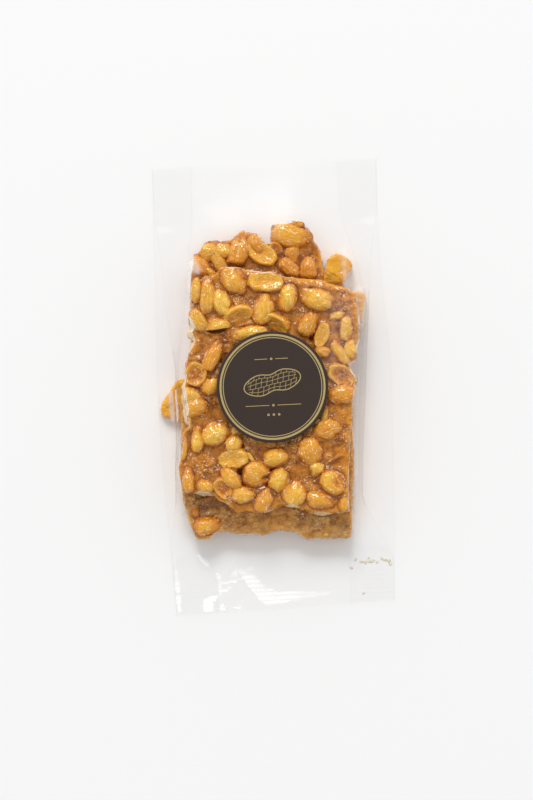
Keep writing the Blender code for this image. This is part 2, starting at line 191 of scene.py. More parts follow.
def grid_faces(rows, columns, flip=False):
    """The quads of a grid of points numbered row by row."""
    a = (np.arange(rows - 1)[:, None] * columns + np.arange(columns - 1)).ravel()
    quads = np.column_stack([a, a + 1, a + columns + 1, a + columns])
    return quads[:, ::-1] if flip else quads


def put_in_scene(name, data):
    """The object of a mesh, a lamp or a camera, linked to the scene."""
    made = bpy.data.objects.new(name, data)
    bpy.context.scene.collection.objects.link(made)
    return made


def make_piece(name, points, quads, material, node, triangles=None, marks=None, sharp=None):
    """A mesh piece from points in millimetres, which rides on the root body and stands for a node. Marks are
    numbers at the points that its material reads."""
    mesh = bpy.data.meshes.new(name)
    mesh.vertices.add(len(points))
    mesh.vertices.foreach_set("co", (np.asarray(points, float) * MM).ravel())
    groups = [np.asarray(group) for group in (quads, triangles) if group is not None]
    corners = np.concatenate([group.ravel() for group in groups])
    totals = np.concatenate([np.full(len(group), group.shape[1]) for group in groups])
    mesh.loops.add(len(corners))
    mesh.loops.foreach_set("vertex_index", corners)
    mesh.polygons.add(len(totals))
    mesh.polygons.foreach_set("loop_start", np.concatenate(([0], np.cumsum(totals)[:-1])))
    mesh.update(calc_edges=True)
    for mark, values in (marks or {}).items():
        kind, field = ("FLOAT_VECTOR", "vector") if np.ndim(values) == 2 else ("FLOAT", "value")
        mesh.attributes.new(mark, kind, "POINT").data.foreach_set(field, np.asarray(values, float).ravel())
    mesh.materials.append(material)
    mesh.shade_smooth()
    if sharp is not None:
        mesh.set_sharp_from_angle(angle=math.radians(sharp))
    piece = put_in_scene(name, mesh)
    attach(piece, "root")
    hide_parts(node)


def rim_numbers(rows, columns):
    """The numbers of a grid's border points, anticlockwise from its first point."""
    grid = np.arange(rows * columns).reshape(rows, columns)
    return np.concatenate([grid[0, :-1], grid[:-1, -1], grid[-1, :0:-1], grid[:0:-1, 0]])


def outline_of(sides, step):
    """A slab's outline: its four sides as curves, and all of them joined anticlockwise."""
    length = lambda points: np.hypot(*np.diff(np.array(points, float), axis=0).T).sum()
    columns = int(max(length(sides["bottom"]), length(sides["top"])) / step) + 2
    rows = int(max(length(sides["left"]), length(sides["right"])) / step) + 2
    curves = {name: side_curve(sides[name], columns if name in ("bottom", "top") else rows) for name in sides}
    return curves, np.vstack([curves["bottom"][:-1], curves["right"][:-1], curves["top"][:0:-1],
                              curves["left"][:0:-1]])


def outward_of(ring):
    """The outward direction at each point of an anticlockwise ring, smoothed over its neighbours."""
    step = np.roll(ring, -3, axis=0) - np.roll(ring, 3, axis=0)
    out = np.column_stack([step[:, 1], -step[:, 0]])
    return out / np.linalg.norm(out, axis=1)[:, None]


def lean_at(places, leans):
    """How far a broken wall runs out towards its foot, in mm: a little everywhere, more round some places."""
    lean = np.full(len(places), 0.5)
    for x, y, more, reach in leans:
        lean += more * np.exp(-((places[:, 0] - x) ** 2 + (places[:, 1] - y) ** 2) / reach ** 2)
    return lean


def round_peanuts(x, y, peanuts):
    """How caramel meets the peanuts. It climbs to each rim as exp(-distance / reach) and drops away under the
    peanut, so that none of it shows inside a split one. Gives that change of height, and how near the closest
    rim is, from 0 to 1."""
    rise, sink, near = np.zeros((3, *np.shape(x)))
    for px, py, length, width, turn, kind in peanuts:
        angle = math.radians(turn)
        along = ((x - px) * math.cos(angle) + (y - py) * math.sin(angle)) / (length / 2)
        across = ((y - py) * math.cos(angle) - (x - px) * math.sin(angle)) / (width / 2)
        distance = (np.hypot(along, across) - 1) * (length + width) / 4
        most, reach = {COATED: (1.2, 1.8), SUNK: (0.3, 2.0), CHIP: (0.2, 0.6)}.get(kind, (0.7, 0.9))
        most = most * (1 + 0.7 * noise(x, y, 2.6, 61))
        rise = np.maximum(rise, most * np.exp(-np.maximum(distance, 0) / reach))
        sink = np.maximum(sink, smooth_step(-distance, 0.5, 2.0))
        # near is where the slab's caramel is painted darker round each peanut: partly pooled caramel, partly
        # painted shade.
        near = np.maximum(near, (0.15 if kind == SUNK else 1.0) * np.exp(-np.maximum(distance, 0) / 1.3))
    return rise - 2.6 * sink, near * (0.45 + 0.55 * smooth_step(noise(x, y, 4.5, 62), -0.5, 0.5))


WALL_PER_NUT = 15
contents = []


def make_slab(name, sides, low, high, step, peanuts, surface, leans, seed, material, snapped=()):
    """A slab of brittle: its upper face is a grid lifted by surface(x, y), its walls are rings of points that
    are broken rough and lean out, and its underside is a grid inside the last ring. Its marks are nut, 1 where
    a wall cuts through a peanut, thick, highest at the peanuts' rims and in low places, where the caramel is
    painted darker as pooled caramel and painted shade, and thin, along its edges."""
    curves, ring = outline_of(sides, step)
    top = ruled_sheet(curves["bottom"], curves["right"], curves["top"], curves["left"])
    rows, columns = top.shape[:2]
    size, count = rows * columns, len(ring)
    x, y = top[..., 0], top[..., 1]
    climb, near = round_peanuts(x, y, peanuts)
    row, column = np.indices((rows, columns))
    inside = np.minimum(np.minimum(row, rows - 1 - row), np.minimum(column, columns - 1 - column)) * step
    height = high + surface(x, y) + climb - 0.45 * np.exp(-inside / 0.5)
    border = rim_numbers(rows, columns)
    rim_height = height.ravel()[border]
    lean, out = lean_at(ring, leans), outward_of(ring)
    along = np.arange(count) * step
    rng = np.random.default_rng(seed)
    cuts = [(rng.uniform(0, along[-1]), rng.uniform(low + 2, high - 1.5), rng.uniform(2.0, 4.2),
             rng.uniform(1.8, 3.2)) for _ in range(int(along[-1] / WALL_PER_NUT))]
    for px, py, length, width, turn, kind in peanuts:
        away = np.hypot(ring[:, 0] - px, ring[:, 1] - py)
        if kind != CHIP and away.min() < (length + width) / 4:
            cuts.append((along[away.argmin()], high - 1.2, length * 0.36, width * 0.42))
    for x0, y0, half_length in snapped:
        at = along[np.hypot(ring[:, 0] - x0, ring[:, 1] - y0).argmin()]
        cuts.append((at, (low + high) / 2 + 0.8, half_length, (high - low) / 2))
    levels = max(int((high - low) / step / 1.2), 6)
    points, marks = [np.dstack([x, y, height]).reshape(-1, 3)], [np.zeros(size)]
    quads, here = [grid_faces(rows, columns)], border
    for level in range(levels):
        t = (level + 1) / levels
        z = rim_height * (1 - t) + low * t
        nut = np.zeros(count)
        for s, cz, half_length, half_height in cuts:
            gone = np.abs(along - s)
            gone = np.minimum(gone, along[-1] - gone)
            nut = np.maximum(nut, 1 - np.hypot(gone / half_length, (z - cz) / half_height))
        nut = smooth_step(nut + 0.14 * noise(along, z, 1.6, seed + 5), -0.08, 0.3)
        rough = 0.55 * noise(along, z, 3.1, seed + 1) + 0.25 * noise(along, z, 1.1, seed + 2)
        foot = 0.6 * max(t - 0.85, 0) / 0.15
        move = lean * t + rough * (1 - 0.6 * nut) * min(4 * t, 1) + 0.25 * nut - foot
        points.append(np.column_stack([ring + move[:, None] * out, z]))
        marks.append(nut)
        there = size + level * count + np.arange(count)
        quads.append(np.column_stack([here, there, np.roll(there, -1), np.roll(here, -1)]))
        here = there
    contents.append(np.vstack(points))
    a, b, c = np.cumsum([columns - 1, rows - 1, columns - 1])
    loop = np.vstack([points[-1][:, :2], points[-1][:1, :2]])
    under = ruled_sheet(loop[:a + 1], loop[a:b + 1], loop[b:c + 1][::-1], loop[c:][::-1])
    under_z = low + 0.25 * noise(under[..., 0], under[..., 1], 5.0, seed + 3) * smooth_step(inside, 0, 3)
    number = np.full(size, -1)
    number[border] = here
    free = np.flatnonzero(number < 0)
    number[free] = size + levels * count + np.arange(len(free))
    quads.append(number[grid_faces(rows, columns, flip=True)])
    points = np.vstack(points + [np.dstack([under, under_z]).reshape(-1, 3)[free]])
    nut = np.concatenate(marks + [np.zeros(len(free))])
    thick, thin = np.zeros((2, len(points)))
    # Painted shade: thick is highest at the peanuts' rims and in low places of the face, where the caramel is
    # painted darker, partly as pooled caramel and partly as painted shade.
    thick[:size] = np.maximum(near, 0.8 * smooth_step(-surface(x, y), 0.0, 0.8)).ravel()
    thin[:size] = 0.85 * np.exp(-inside / 1.5).ravel()
    down = np.repeat(np.arange(1, levels + 1), count)
    thin[size:size + levels * count] = 0.85 * np.exp(-down / levels / 0.45)
    thin *= 0.7 + 0.45 * noise(points[:, 0], points[:, 1], 4.0, seed + 4)
    make_piece(name, points, np.vstack(quads), material, "bag",
               marks={"nut": nut, "thick": thick, "thin": thin}, sharp=70)


# Hard caramel, cooled fast. It is a glossy brown glass full of fine bubbles and sugar grains: darker round the
# peanuts and in low places, partly where it lies thick and partly painted shade, darker in the middle of each
# pore as painted shade, amber at thin edges, with pale specks that are sugar grains and partly painted sparkle,
# and cream patches where a peanut is broken through.
def caramel_material(name, deep, bright, grain, gloss, froth="CC8436", strata=(1.0, 1.0, 1.0), edge="F2A02C"):
    """A caramel from deep to bright in clouds of 4 mm. Froth, sugar grains that are partly painted sparkle, pores
    with painted shade in their middles, pooled caramel and painted shade round the peanuts and in low places,
    thin edges and snapped peanuts are laid over it. Grain is how sugary it is; strata draw the froth out."""
    material, add = new_material(name)
    place = add("TexCoord", out="Object")
    thick, thin, nut = [add("Attribute", out="Fac", attribute_name=mark) for mark in ("thick", "thin", "nut")]
    clouds = add("TexNoise", place, Scale=230.0, Detail=5.0, Roughness=0.66)
    layers = add("Mapping", place, Rotation=(0.0, 0.0, 0.6), Scale=strata)
    foam = add("TexNoise", layers, Scale=150.0, Detail=5.0, Roughness=0.7)
    sugar = add("TexNoise", place, Scale=1150.0, Detail=3.0, Roughness=0.75)
    patches = add("TexNoise", place, Scale=95.0)
    sprinkled = add("MapRange", patches, From_Min=0.44, From_Max=0.62, To_Min=0.15, To_Max=grain)
    grains = add("MapRange", sugar, From_Min=0.55, From_Max=0.63)
    pores = add("TexVoronoi", place, Scale=1000.0)
    # Painted shade: each pore is painted darker towards its middle, where the bump below makes a pit.
    hollow = add("MapRange", pores, From_Min=0.1, From_Max=0.42, To_Min=0.3, To_Max=0.0)
    crumb = add("TexNoise", place, Scale=900.0, Detail=3.0)
    ragged = add("Math.MULTIPLY_ADD", crumb, 0.9, nut)
    snapped = laid_over(add, "D8AE6C", [(crumb, "FFF0D0")])
    colour = laid_over(add, deep, (
        (add("MapRange", clouds, From_Min=0.33, From_Max=0.67), bright),
        (add("MapRange", foam, From_Min=0.5, From_Max=0.66, To_Max=0.4 * grain), froth),
        # Pale specks: sugar grains, and in part painted sparkle of the wet caramel.
        (add("Math.MULTIPLY", grains, sprinkled), "FFE9BE"),
        # Painted shade in the middle of each pore.
        (add("Math.MULTIPLY", hollow, sprinkled), "6E3A10"),
        # Painted shade round the peanuts and in low places, partly caramel pooled thick there.
        (add("Math.MULTIPLY", thick, 0.75), "662C00"),
        (thin, edge),
        (add("MapRange", ragged, From_Min=0.82, From_Max=0.96), snapped)))
    lumps = add("TexNoise", place, Scale=480.0, Detail=1.0)
    uneven = add("MapRange", patches, From_Min=0.42, From_Max=0.58, To_Min=0.35)
    lumpy = add("Bump", Strength=0.8, Distance=0.0013, Height=add("Math.MULTIPLY", lumps, uneven))
    gritty = add("Bump", Strength=0.7, Distance=0.0006, Height=add("Math.MULTIPLY", sugar, sprinkled),
                 Normal=lumpy)
    pitted = add("Bump", Strength=0.35, Distance=0.0004, Height=pores, Normal=gritty)
    add("OutputMaterial", add("BsdfPrincipled", colour, Roughness=gloss, IOR=1.49, Specular_IOR_Level=0.05,
                              Coat_Weight=0.7, Coat_Roughness=0.035, Normal=pitted, Coat_Normal=lumpy))
    return material


tray_caramel = caramel_material("caramel set on a tray", "9C560A", "E8A846", 1.0, 0.4, "E2BE88",
                                (0.35, 1.5, 1.0), "E2A456")
poured_caramel = caramel_material("poured caramel", "7C3800", "DE8C0C", 1.0, 0.25)
glassy_caramel = caramel_material("glassy caramel", "743200", "DC8A0C", 0.45, 0.22)


def tray_face(x, y):
    """The face that lay on the tray: nearly level, with low swells, flakes broken off in steps of 0.35 mm, a
    basin at its left corner and a few burst bubbles."""
    swell = 0.22 * noise(x, y, 7.0, 41) + 0.14 * noise(x, y, 2.2, 42)
    flakes = noise(x + 0.5 * y, 2 * y - 0.5 * x, 6.0, 44) + 0.25 * noise(x, y, 1.5, 45)
    steps = smooth_step(flakes, -0.05, 0.03) + smooth_step(flakes, 0.4, 0.47)
    steps = steps - 0.8 * smooth_step(flakes, -0.6, -0.5)
    basin = 0.9 * np.exp(-((x + 33) ** 2 + (y + 52) ** 2) / 8.0 ** 2)
    return swell + 0.35 * steps - basin - 0.3 * np.maximum(bubble_field(x, y, 4.0, 43), 0) ** 0.7


def poured_face(x, y):
    """The face that set in the air: swells of about 9 mm, lumps of 3 mm, sugar grains and burst bubbles."""
    swell = 0.35 * noise(x, y, 9.0, 51) + 0.35 * noise(x, y, 3.4, 52)
    buried = 0.8 * np.maximum(bubble_field(x, y, 9.0, 57), 0) ** 0.7
    rough = smooth_step(noise(x, y, 11.0, 53), -0.3, 0.3)
    grains = (0.24 * noise(x, y, 1.6, 54) + 0.13 * noise(x, y, 0.8, 55)) * (0.08 + 0.92 * rough)
    pits = np.maximum(bubble_field(x, y, 2.3, 56), 0) ** 0.5
    return swell - 0.25 + buried + grains - 0.6 * pits * (0.08 + 0.92 * rough)


make_slab("lower_slab", LOWER_SIDES, SLAB_BOTTOM, LOWER_TOP, 0.6, LOWER_PEANUTS, tray_face,
          ((32.5, -45, 0.5, 20), (0, -67, 0.6, 25)), 3, tray_caramel)

# The back slab, under the top one at its other end. It lies peanuts up and was broken round them, so they
# make its edge lumpy.
BACK_TOP = 8.2
BACK_SIDES = dict(
    left=((-38, 3), (-37, 30), (-36, 50), (-35, 55.5), (-34.5, 58), (-32.5, 60.5), (-31, 63.5), (-29, 66.5)),
    right=((34, 2), (30, 25), (25.5, 48), (24, 53), (24, 55.5), (23, 61), (20, 66), (17.5, 71)),
    bottom=((-38, 3), (-10, 1), (10, 3), (34, 2)),
    top=((-29, 66.5), (-26.5, 67.5), (-23.5, 67), (-17.5, 67.5), (-14.5, 69.5), (-11.5, 71.5), (-10, 70.5),
         (-7, 70), (-4.5, 69), (-2.5, 66.5), (-1.5, 65), (1.5, 65.5), (2.5, 70.5), (3.5, 72.5), (6, 73.5),
         (11.5, 74), (13.5, 74.5), (15.5, 74), (17.5, 71)))
BACK_PEANUTS = (
    (10.7, 68.3, 17, 10.2, -14, DOME), (10.8, 59.2, 8, 6.5, -80, TIP), (3.5, 62.5, 6.5, 5, -50, OPEN),
    (9.4, 53.6, 10.8, 6.6, -42, LOBED), (17.8, 53.3, 10.4, 8.4, 85, DOME), (-13.3, 62.6, 13.2, 9, 72, LOBED),
    (-3.0, 60.6, 13.5, 8.6, -38, HALF), (-5.5, 64.8, 9.5, 8.5, -50, COATED), (-19.8, 62.8, 9, 7.5, -15, ROUGH),
    (-26.5, 63, 10.5, 8.5, 20, DOME), (-22.4, 57.2, 11.5, 6, -58, LOBED), (-31.5, 56.5, 11, 8.5, -50, DOME),
    (-28.5, 52.5, 8.5, 6, -40, SIDE), (14.2, 73.2, 5.5, 4, -15, COATED), (-8, 48, 11, 8, 30, DOME),
    (4, 44, 12, 8, -60, DOME), (-20, 50, 11, 8, 10, DOME))
back_face = lambda x, y: 0.55 * poured_face(x, y)
make_slab("back_slab", BACK_SIDES, SLAB_BOTTOM, BACK_TOP, 0.6, BACK_PEANUTS, back_face, (), 5, glassy_caramel)

# The top slab, peanuts up. A piece of a sheet about 9 mm thick, broken off nearly straight: the walls show
# peanuts snapped through.
TOP_LOW = 11.8
TOP_HIGH = 20.4
TOP_SIDES = dict(
    left=((-44, -45.5), (-44.5, -40.5), (-45, -34.5), (-44, -31.5), (-42.5, -24.5), (-43, -23), (-42, -19),
          (-39, -16.5), (-40, -13.5), (-40.5, -4.5), (-41, 0), (-40, 3), (-39.5, 6.5), (-40, 8.5), (-38.5, 14.5),
          (-37.5, 17), (-35, 21), (-34.5, 23.5), (-36, 26), (-35, 27.5), (-36.5, 32.5), (-35, 38), (-35.5, 45),
          (-34.5, 49)),
    right=((30.5, -58), (30.5, -48.5), (31.5, -35), (32.5, -26), (33.5, -17), (34.5, -8), (35.5, -3.5),
           (35.5, -0.5), (36, 1.5), (34.5, 4.5), (34, 6.5), (34, 8.5), (37, 11), (37.5, 16.5), (38.5, 23.5),
           (38.5, 32.5), (38.5, 40)),
    bottom=((-44, -45.5), (-36, -46), (-30, -47.5), (-27.5, -50.5), (-25.5, -51), (-23.5, -52.5), (-19.5, -56),
            (-16, -55.5), (-12, -56.5), (-8.5, -57), (-5, -56), (-3, -55), (-0.5, -53.5), (4, -54), (8.5, -55),
            (12, -56.5), (15, -57.5), (18.5, -58), (24, -58), (30.5, -58)),
    top=((-34.5, 49), (-30, 49.5), (-25, 51), (-22, 54.5), (-18.5, 54), (-14, 53.5), (-9, 52), (-3.5, 51),
         (1, 51), (5.5, 49), (10, 48.5), (13.5, 47.5), (19, 47), (23.5, 46), (27, 44.5), (30.5, 43.5), (34, 42.5),
         (36.5, 40.5), (38.5, 40)))
TOP_LEANS = ((-36, 25, 2.8, 5.5), (-35, 34, 1.0, 5), (-40.5, -7, 2.2, 11), (-35, -46, 1.8, 6),
             (4, -54, 1.2, 6), (19, -58, 1.8, 8), (-10, 52, 0.8, 12), (36, 0, 0.8, 8), (38.5, 25, 0.9, 14))
TOP_SNAPPED = ((-40.5, 3, 3.5), (-40.5, -4, 3.2), (-40, -12, 4.0), (-35, 26, 3.5), (-35, 19, 2.5),
               (-35, -46, 3.4), (19, -58, 4.5), (-8, 51.5, 4.0), (2, 51, 3.5))
TOP_PEANUTS = (
    (-16.5, 48, 13, 10.5, -60, DOME), (-2, 47, 15, 8.5, -10, HALF), (-28.8, 42, 15.5, 7, 84, LOBED),
    (-33.8, 44.5, 10.5, 5.5, 82, DOME), (-22.3, 38.5, 12, 8, 108, ROUGH), (-3.7, 35.3, 13.4, 10, 85, DOME),
    (-15, 33, 13, 8, 22, SIDE), (-32.6, 31, 10.5, 7, -60, LOBED), (-25.3, 27.4, 12, 6.5, 3, EDGE),
    (-10.5, 24, 16, 9, 5, DOME), (-27.5, 14.5, 14, 7, 60, DOME), (2, 28, 12.5, 7.5, -35, SIDE),
    (8, 39.5, 13.5, 10.8, 80, ROUGH), (20.5, 38.5, 15, 10, -25, DOME), (16.5, 27, 11, 8, 60, DOME),
    (22, 21.5, 11, 6, 70, HALF), (29.5, 30, 7.5, 4, 10, CHIP), (33, 24, 10, 6.5, 85, ROUGH),
    (30, 13.5, 12, 6, -60, DOME), (34.5, 15, 8, 7, 85, DOME), (30, 3.5, 12, 9, -35, OPEN),
    (29.5, -5, 12, 8.5, 0, DOME), (22, 14, 6.5, 5, -5, DOME), (33.5, 38, 6.5, 5.5, 55, SUNK),
    (-35.5, 6.5, 10, 9.5, 60, OPEN), (-29, 1, 9, 8, 45, DOME), (-35, -7.5, 12.5, 9.5, -12, TIP),
    (-38, -2.5, 9, 7, -25, DOME), (-36, -22, 11.5, 6.5, 85, DOME), (-28, -20.5, 12, 10, 25, DOME),
    (-20, -25, 8, 7.2, 25, DOME), (-18.8, -19.3, 4.5, 4, 50, CHIP), (-20.5, -32, 12.6, 8.6, 3, HALF),
    (-13, -31, 6.5, 2, -55, CHIP), (-10.3, -39.6, 12.2, 11.8, -5, SPLIT),
    (-22, -40.5, 11, 7, -50, DOME), (-41, -40.5, 11, 6, 90, DOME), (-33.5, -44, 8, 6.5, -5, DOME),
    (-25.5, -45, 9.5, 7.5, -55, OPEN), (-16.5, -48.5, 10.5, 8, 5, DOME), (-7.5, -51, 11, 8.5, 70, COATED),
    (-1.5, -32.5, 11, 9, 15, ROUGH), (0, -42.3, 10.2, 9.6, 65, DOME), (14, -30.8, 13, 12, -70, COATED),
    (10, -25.5, 5.5, 2.5, 80, CHIP), (22, -14, 8, 3, 75, CHIP), (19, -17, 4.5, 3.5, -5, CHIP),
    (23, -21, 12, 10, 15, COATED), (6.5, -49, 11, 10.5, 55, ROUGH), (17, -38.5, 6.5, 6.5, -5, ROUGH),
    (24, -44.5, 12.5, 11.5, -45, DIMPLE), (18, -52.5, 12.5, 8, -15, DOME), (28.5, -54.5, 6.5, 5.5, 85, DOME),
    (-42.5, -26.5, 9.5, 3.5, 80, DOME), (-39.5, -15.5, 6.5, 2.5, 85, DOME), (-3.5, -26.5, 6.5, 3.5, -5, SUNK))
GAP_DEPTH = 4.0
DEEP_GAPS = ((-17, -38.5, 1.5), (-15, -43.4, 1.5), (-19.5, -45.2, 1.4), (-4.6, -44.2, 1.5), (-3, -38.3, 1.6),
             (18, 21, 1.5), (-16.8, -26.8, 1.2))
ROPES = ((0.55, 1.5, ((30.3, -24), (30.8, -29), (29, -32.5), (23, -35.3))),
         (0.6, 1.4, ((-17, -27.6), (-14.5, -28.2), (-12.4, -31), (-11, -33.8))),
         (1.6, 0.5, ((9, 46), (18, 44.6), (26.8, 42.4), (34, 39.5), (36.5, 36))))


def line_distance(x, y, start, end):
    """The distance from each place to the nearest point of a straight line between two points."""
    (x0, y0), (x1, y1) = start, end
    t = np.clip(((x - x0) * (x1 - x0) + (y - y0) * (y1 - y0)) / ((x1 - x0) ** 2 + (y1 - y0) ** 2), 0, 1)
    return np.hypot(x - x0 - t * (x1 - x0), y - y0 - t * (y1 - y0))


def top_face(x, y):
    """The poured face with deep gaps left between some peanuts, each a round pit, and a few ropes of caramel,
    each a ridge that falls off as exp(-(distance / half width)^2)."""
    level = poured_face(x, y)
    for half, rise, rope in ROPES:
        for start, end in zip(rope, rope[1:]):
            level = np.maximum(level, rise * np.exp(-(line_distance(x, y, start, end) / half) ** 2) - 0.3)
    for gap_x, gap_y, radius in DEEP_GAPS:
        level = level - GAP_DEPTH * np.exp(-((x - gap_x) ** 2 + (y - gap_y) ** 2) / radius ** 2)
    return level


make_slab("top_slab", TOP_SIDES, TOP_LOW, TOP_HIGH, 0.5, TOP_PEANUTS, top_face, TOP_LEANS, 7, poured_caramel,
          TOP_SNAPPED)

# Three loose shards of the same brittle: one half out at the left, one at the upper right and one beside the
# top slab's right wall. They are thin, so more amber.
SHARDS = dict(
    left_shard=(dict(left=((-51, -11.5), (-52.5, -9), (-52, -6), (-49.5, -2), (-44.5, 4.5)),
                     right=((-37, -15), (-36.5, 4)),
                     bottom=((-51, -11.5), (-49, -12), (-45.5, -13.5), (-44, -14), (-37, -15)),
                     top=((-44.5, 4.5), (-41, 5), (-36.5, 4))), 5.2, 11),
    right_shard=(dict(left=((24, 45.5), (25.5, 51), (27, 56.5)),
                      right=((33, 45.5), (35, 49), (37, 51.5), (38, 53.5)),
                      bottom=((24, 45.5), (28, 45), (33, 45.5)),
                      top=((27, 56.5), (29.5, 58), (31.5, 59), (33.5, 58), (36.5, 56), (38, 53.5))), 8.6, 13),
    edge_shard=(dict(left=((35, 24), (34.5, 38)),
                     right=((41, 27.5), (41.5, 32), (42.5, 36), (42.5, 40)),
                     bottom=((35, 24), (38.5, 26), (41, 27.5)),
                     top=((34.5, 38), (39, 41), (42.5, 40))), 9.8, 17))
shard_caramel = caramel_material("thin caramel", "D08E0C", "F4B830", 0.3, 0.22)
shard_face = lambda x, y: 0.5 * poured_face(x, y)
for shard, (sides, high, seed) in SHARDS.items():
    make_slab(shard, sides, SLAB_BOTTOM, high, 0.5, (), shard_face, (), seed, shard_caramel)


# The peanuts on the slabs. Blanched and roasted: whole ones, halves that show the flat inner face, broken
# and coated ones. Each is half sunk, and those on a slab's broken edge are snapped flush with its wall.
RINGS, SPOKES = 22, 30


def closed_faces(rings, spokes, start=0):
    """Quads between closed rings of points numbered ring by ring from start, and a fan of triangles over the
    first and the last ring to the two points that follow them."""
    spoke = np.arange(spokes)
    after = (spoke + 1) % spokes
    base = np.arange(rings - 1)[:, None] * spokes + start
    quads = np.stack([base + spoke, base + after, base + spokes + after, base + spokes + spoke], axis=-1)
    hub, last = start + rings * spokes, start + (rings - 1) * spokes
    fans = np.vstack([np.column_stack([np.full(spokes, hub), start + after, start + spoke]),
                      np.column_stack([np.full(spokes, hub + 1), last + spoke, last + after])])
    return quads.reshape(-1, 4), fans


def soft_least(a, b, width):
    """The smaller of two heights, rounded where they cross: a - soft positive part of (a - b)."""
    gap = (a - b) / width
    return a - width * np.logaddexp(0, gap * 2) / 2


def peanut_points(kind, rng):
    """A peanut of unit size: rings along its long axis p with radius sin(angle)^plump, narrower to one end, q
    across and w up. A broken one is cut off over a flat face with a groove, over a bowl or beside an edge, and
    others have a broad pit, a slit or a fold. Also how much each point belongs to a split face, and how deep
    that face is hollowed."""
    angle = np.linspace(0, math.pi, RINGS + 2)[1:-1, None]
    round_it = np.linspace(0, 2 * math.pi, SPOKES, endpoint=False)[None, :]
    p = np.cos(angle) + 0 * round_it
    taper = rng.uniform(0.3, 0.36) if kind == TIP else rng.uniform(0.0, 0.13)
    plump = {HALF: 0.68, DIMPLE: 0.95, SPLIT: 0.9}.get(kind, rng.uniform(0.6, 0.78))
    radius = np.sin(angle) ** plump * (1 - taper * np.cos(angle))
    squash = 1 + 0.05 * np.cos(2 * round_it + rng.uniform(0, 6))
    squash = squash + 0.035 * np.cos(3 * round_it + rng.uniform(0, 6))
    q = radius * squash * np.cos(round_it)
    w = radius * squash * np.sin(round_it)
    p, q, w = [np.concatenate([part.ravel(), ends]) for part, ends in
               ((p, [1.0, -1.0]), (q, [0, 0]), (w, [0, 0]))]
    beak = {TIP: 0.12, HALF: 0.0}.get(kind, rng.uniform(0.0, 0.03)) * np.exp(-((1 - p) / 0.13) ** 1.5)
    p = p + beak
    q = q + rng.uniform(-0.1, 0.1) * p * p + beak * rng.uniform(-0.8, 0.8)
    reach = p * p + q * q
    lumps = noise(p * 2 + w + rng.uniform(0, 50), q * 2 - w, 1.0, 91)
    fine = noise(p * 5 + w * 2 + rng.uniform(0, 50), q * 5 - w * 2, 1.0, 92)
    inner = np.zeros(len(p))
    if kind in (HALF, SIDE):
        groove = 0.1 * np.exp(-((q - 0.1 * p) / 0.12) ** 2) * np.clip(1 - p * p, 0, 1)
        face = 0.46 + 0.2 * reach ** 2 - 0.12 * (1 - reach) - groove + 0.05 * lumps
        inner = smooth_step(w - face, 0, 0.15)
        w = soft_least(w, face, 0.05)
    elif kind == OPEN:
        bowl = 0.05 + 0.6 * ((p - 0.15) ** 2 + (q + 0.05) ** 2) + 0.06 * lumps
        inner = smooth_step(w - bowl, 0, 0.2)
        w = soft_least(w, bowl, 0.05)
    elif kind == DIMPLE:
        inner = np.exp(-((p - 0.3) ** 2 + q ** 2) / 0.4 ** 2) * (w > 0)
        w = w - 0.36 * inner + 0.08 * lumps * inner
    elif kind == SPLIT:
        w = w - 0.4 * np.exp(-((q + 0.12 - 0.1 * p) / 0.12) ** 2) * smooth_step(p, 0.1, 0.5) * (w > 0)
    elif kind == LOBED:
        w = w - 0.13 * np.exp(-((q - 0.12 + 0.15 * p * p) / 0.14) ** 2) * (w > 0)
        q = q + 0.18 * (p * p - 0.4)
    elif kind == EDGE:
        side = 0.1 + 0.05 * lumps
        inner = smooth_step(-q - side, 0, 0.15)
        q = -soft_least(-q, side, 0.05)
    swell = {ROUGH: 0.08, CHIP: 0.12, CRUMB: 0.25, DIMPLE: 0.04, SPLIT: 0.04, HALF: 0.05}.get(kind, 0.08)
    grow = 1 + swell * lumps + (0.06 if kind in (CHIP, CRUMB) else 0.035) * fine
    if kind in (DOME, TIP):
        seam_at = rng.uniform(-1.1, 1.1)
        seam = np.exp(-((np.arctan2(q, w) - seam_at) / 0.13) ** 2)
        grow = grow - rng.choice([0.02, 0.07]) * seam * (1 - p * p)
    return np.column_stack([p * grow, q * grow, w * grow]), inner, inner * (1 - smooth_step(reach, 0.15, 0.8))


def turn_matrix(degrees, axis):
    """A right-handed turn about X (0), Y (1) or Z (2)."""
    c, s = math.cos(math.radians(degrees)), math.sin(math.radians(degrees))
    turn = np.eye(3)
    a, b = [(1, 2), (2, 0), (0, 1)][axis]
    turn[a, a] = turn[b, b] = c
    turn[a, b], turn[b, a] = -s, s
    return turn


PEANUT_TINTS = {DOME: (0.0, 0.9), HALF: (0.5, 0.7), SIDE: (0.3, 0.6), ROUGH: (0.5, 1.1), COATED: (0.1, 0.5),
                LOBED: (0.2, 0.9), EDGE: (0.3, 0.6), SUNK: (0.0, 0.2), CHIP: (0.7, 1.2), OPEN: (0.2, 0.6),
                DIMPLE: (0.5, 0.7), SPLIT: (0.4, 0.5), TIP: (0.2, 0.3), CRUMB: (1.0, 1.8)}
PEANUT_CROWNS = {SUNK: (0.6, 0), CRUMB: (0.3, 0), CHIP: (0.6, 0.25), COATED: (0.9, 0.25), HALF: (0.8, 0.24),
                 OPEN: (0.9, 0.26), SIDE: (1.3, 0.3), EDGE: (0.9, 0.25)}
HIGHEST_CROWN = 3.9
LEAN_DEPTH = 8.6
LABEL_X, LABEL_Y, LABEL_RADIUS = -1.2, -0.5, 25.0
label_low, label_high = [corner[2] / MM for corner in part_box("label")]


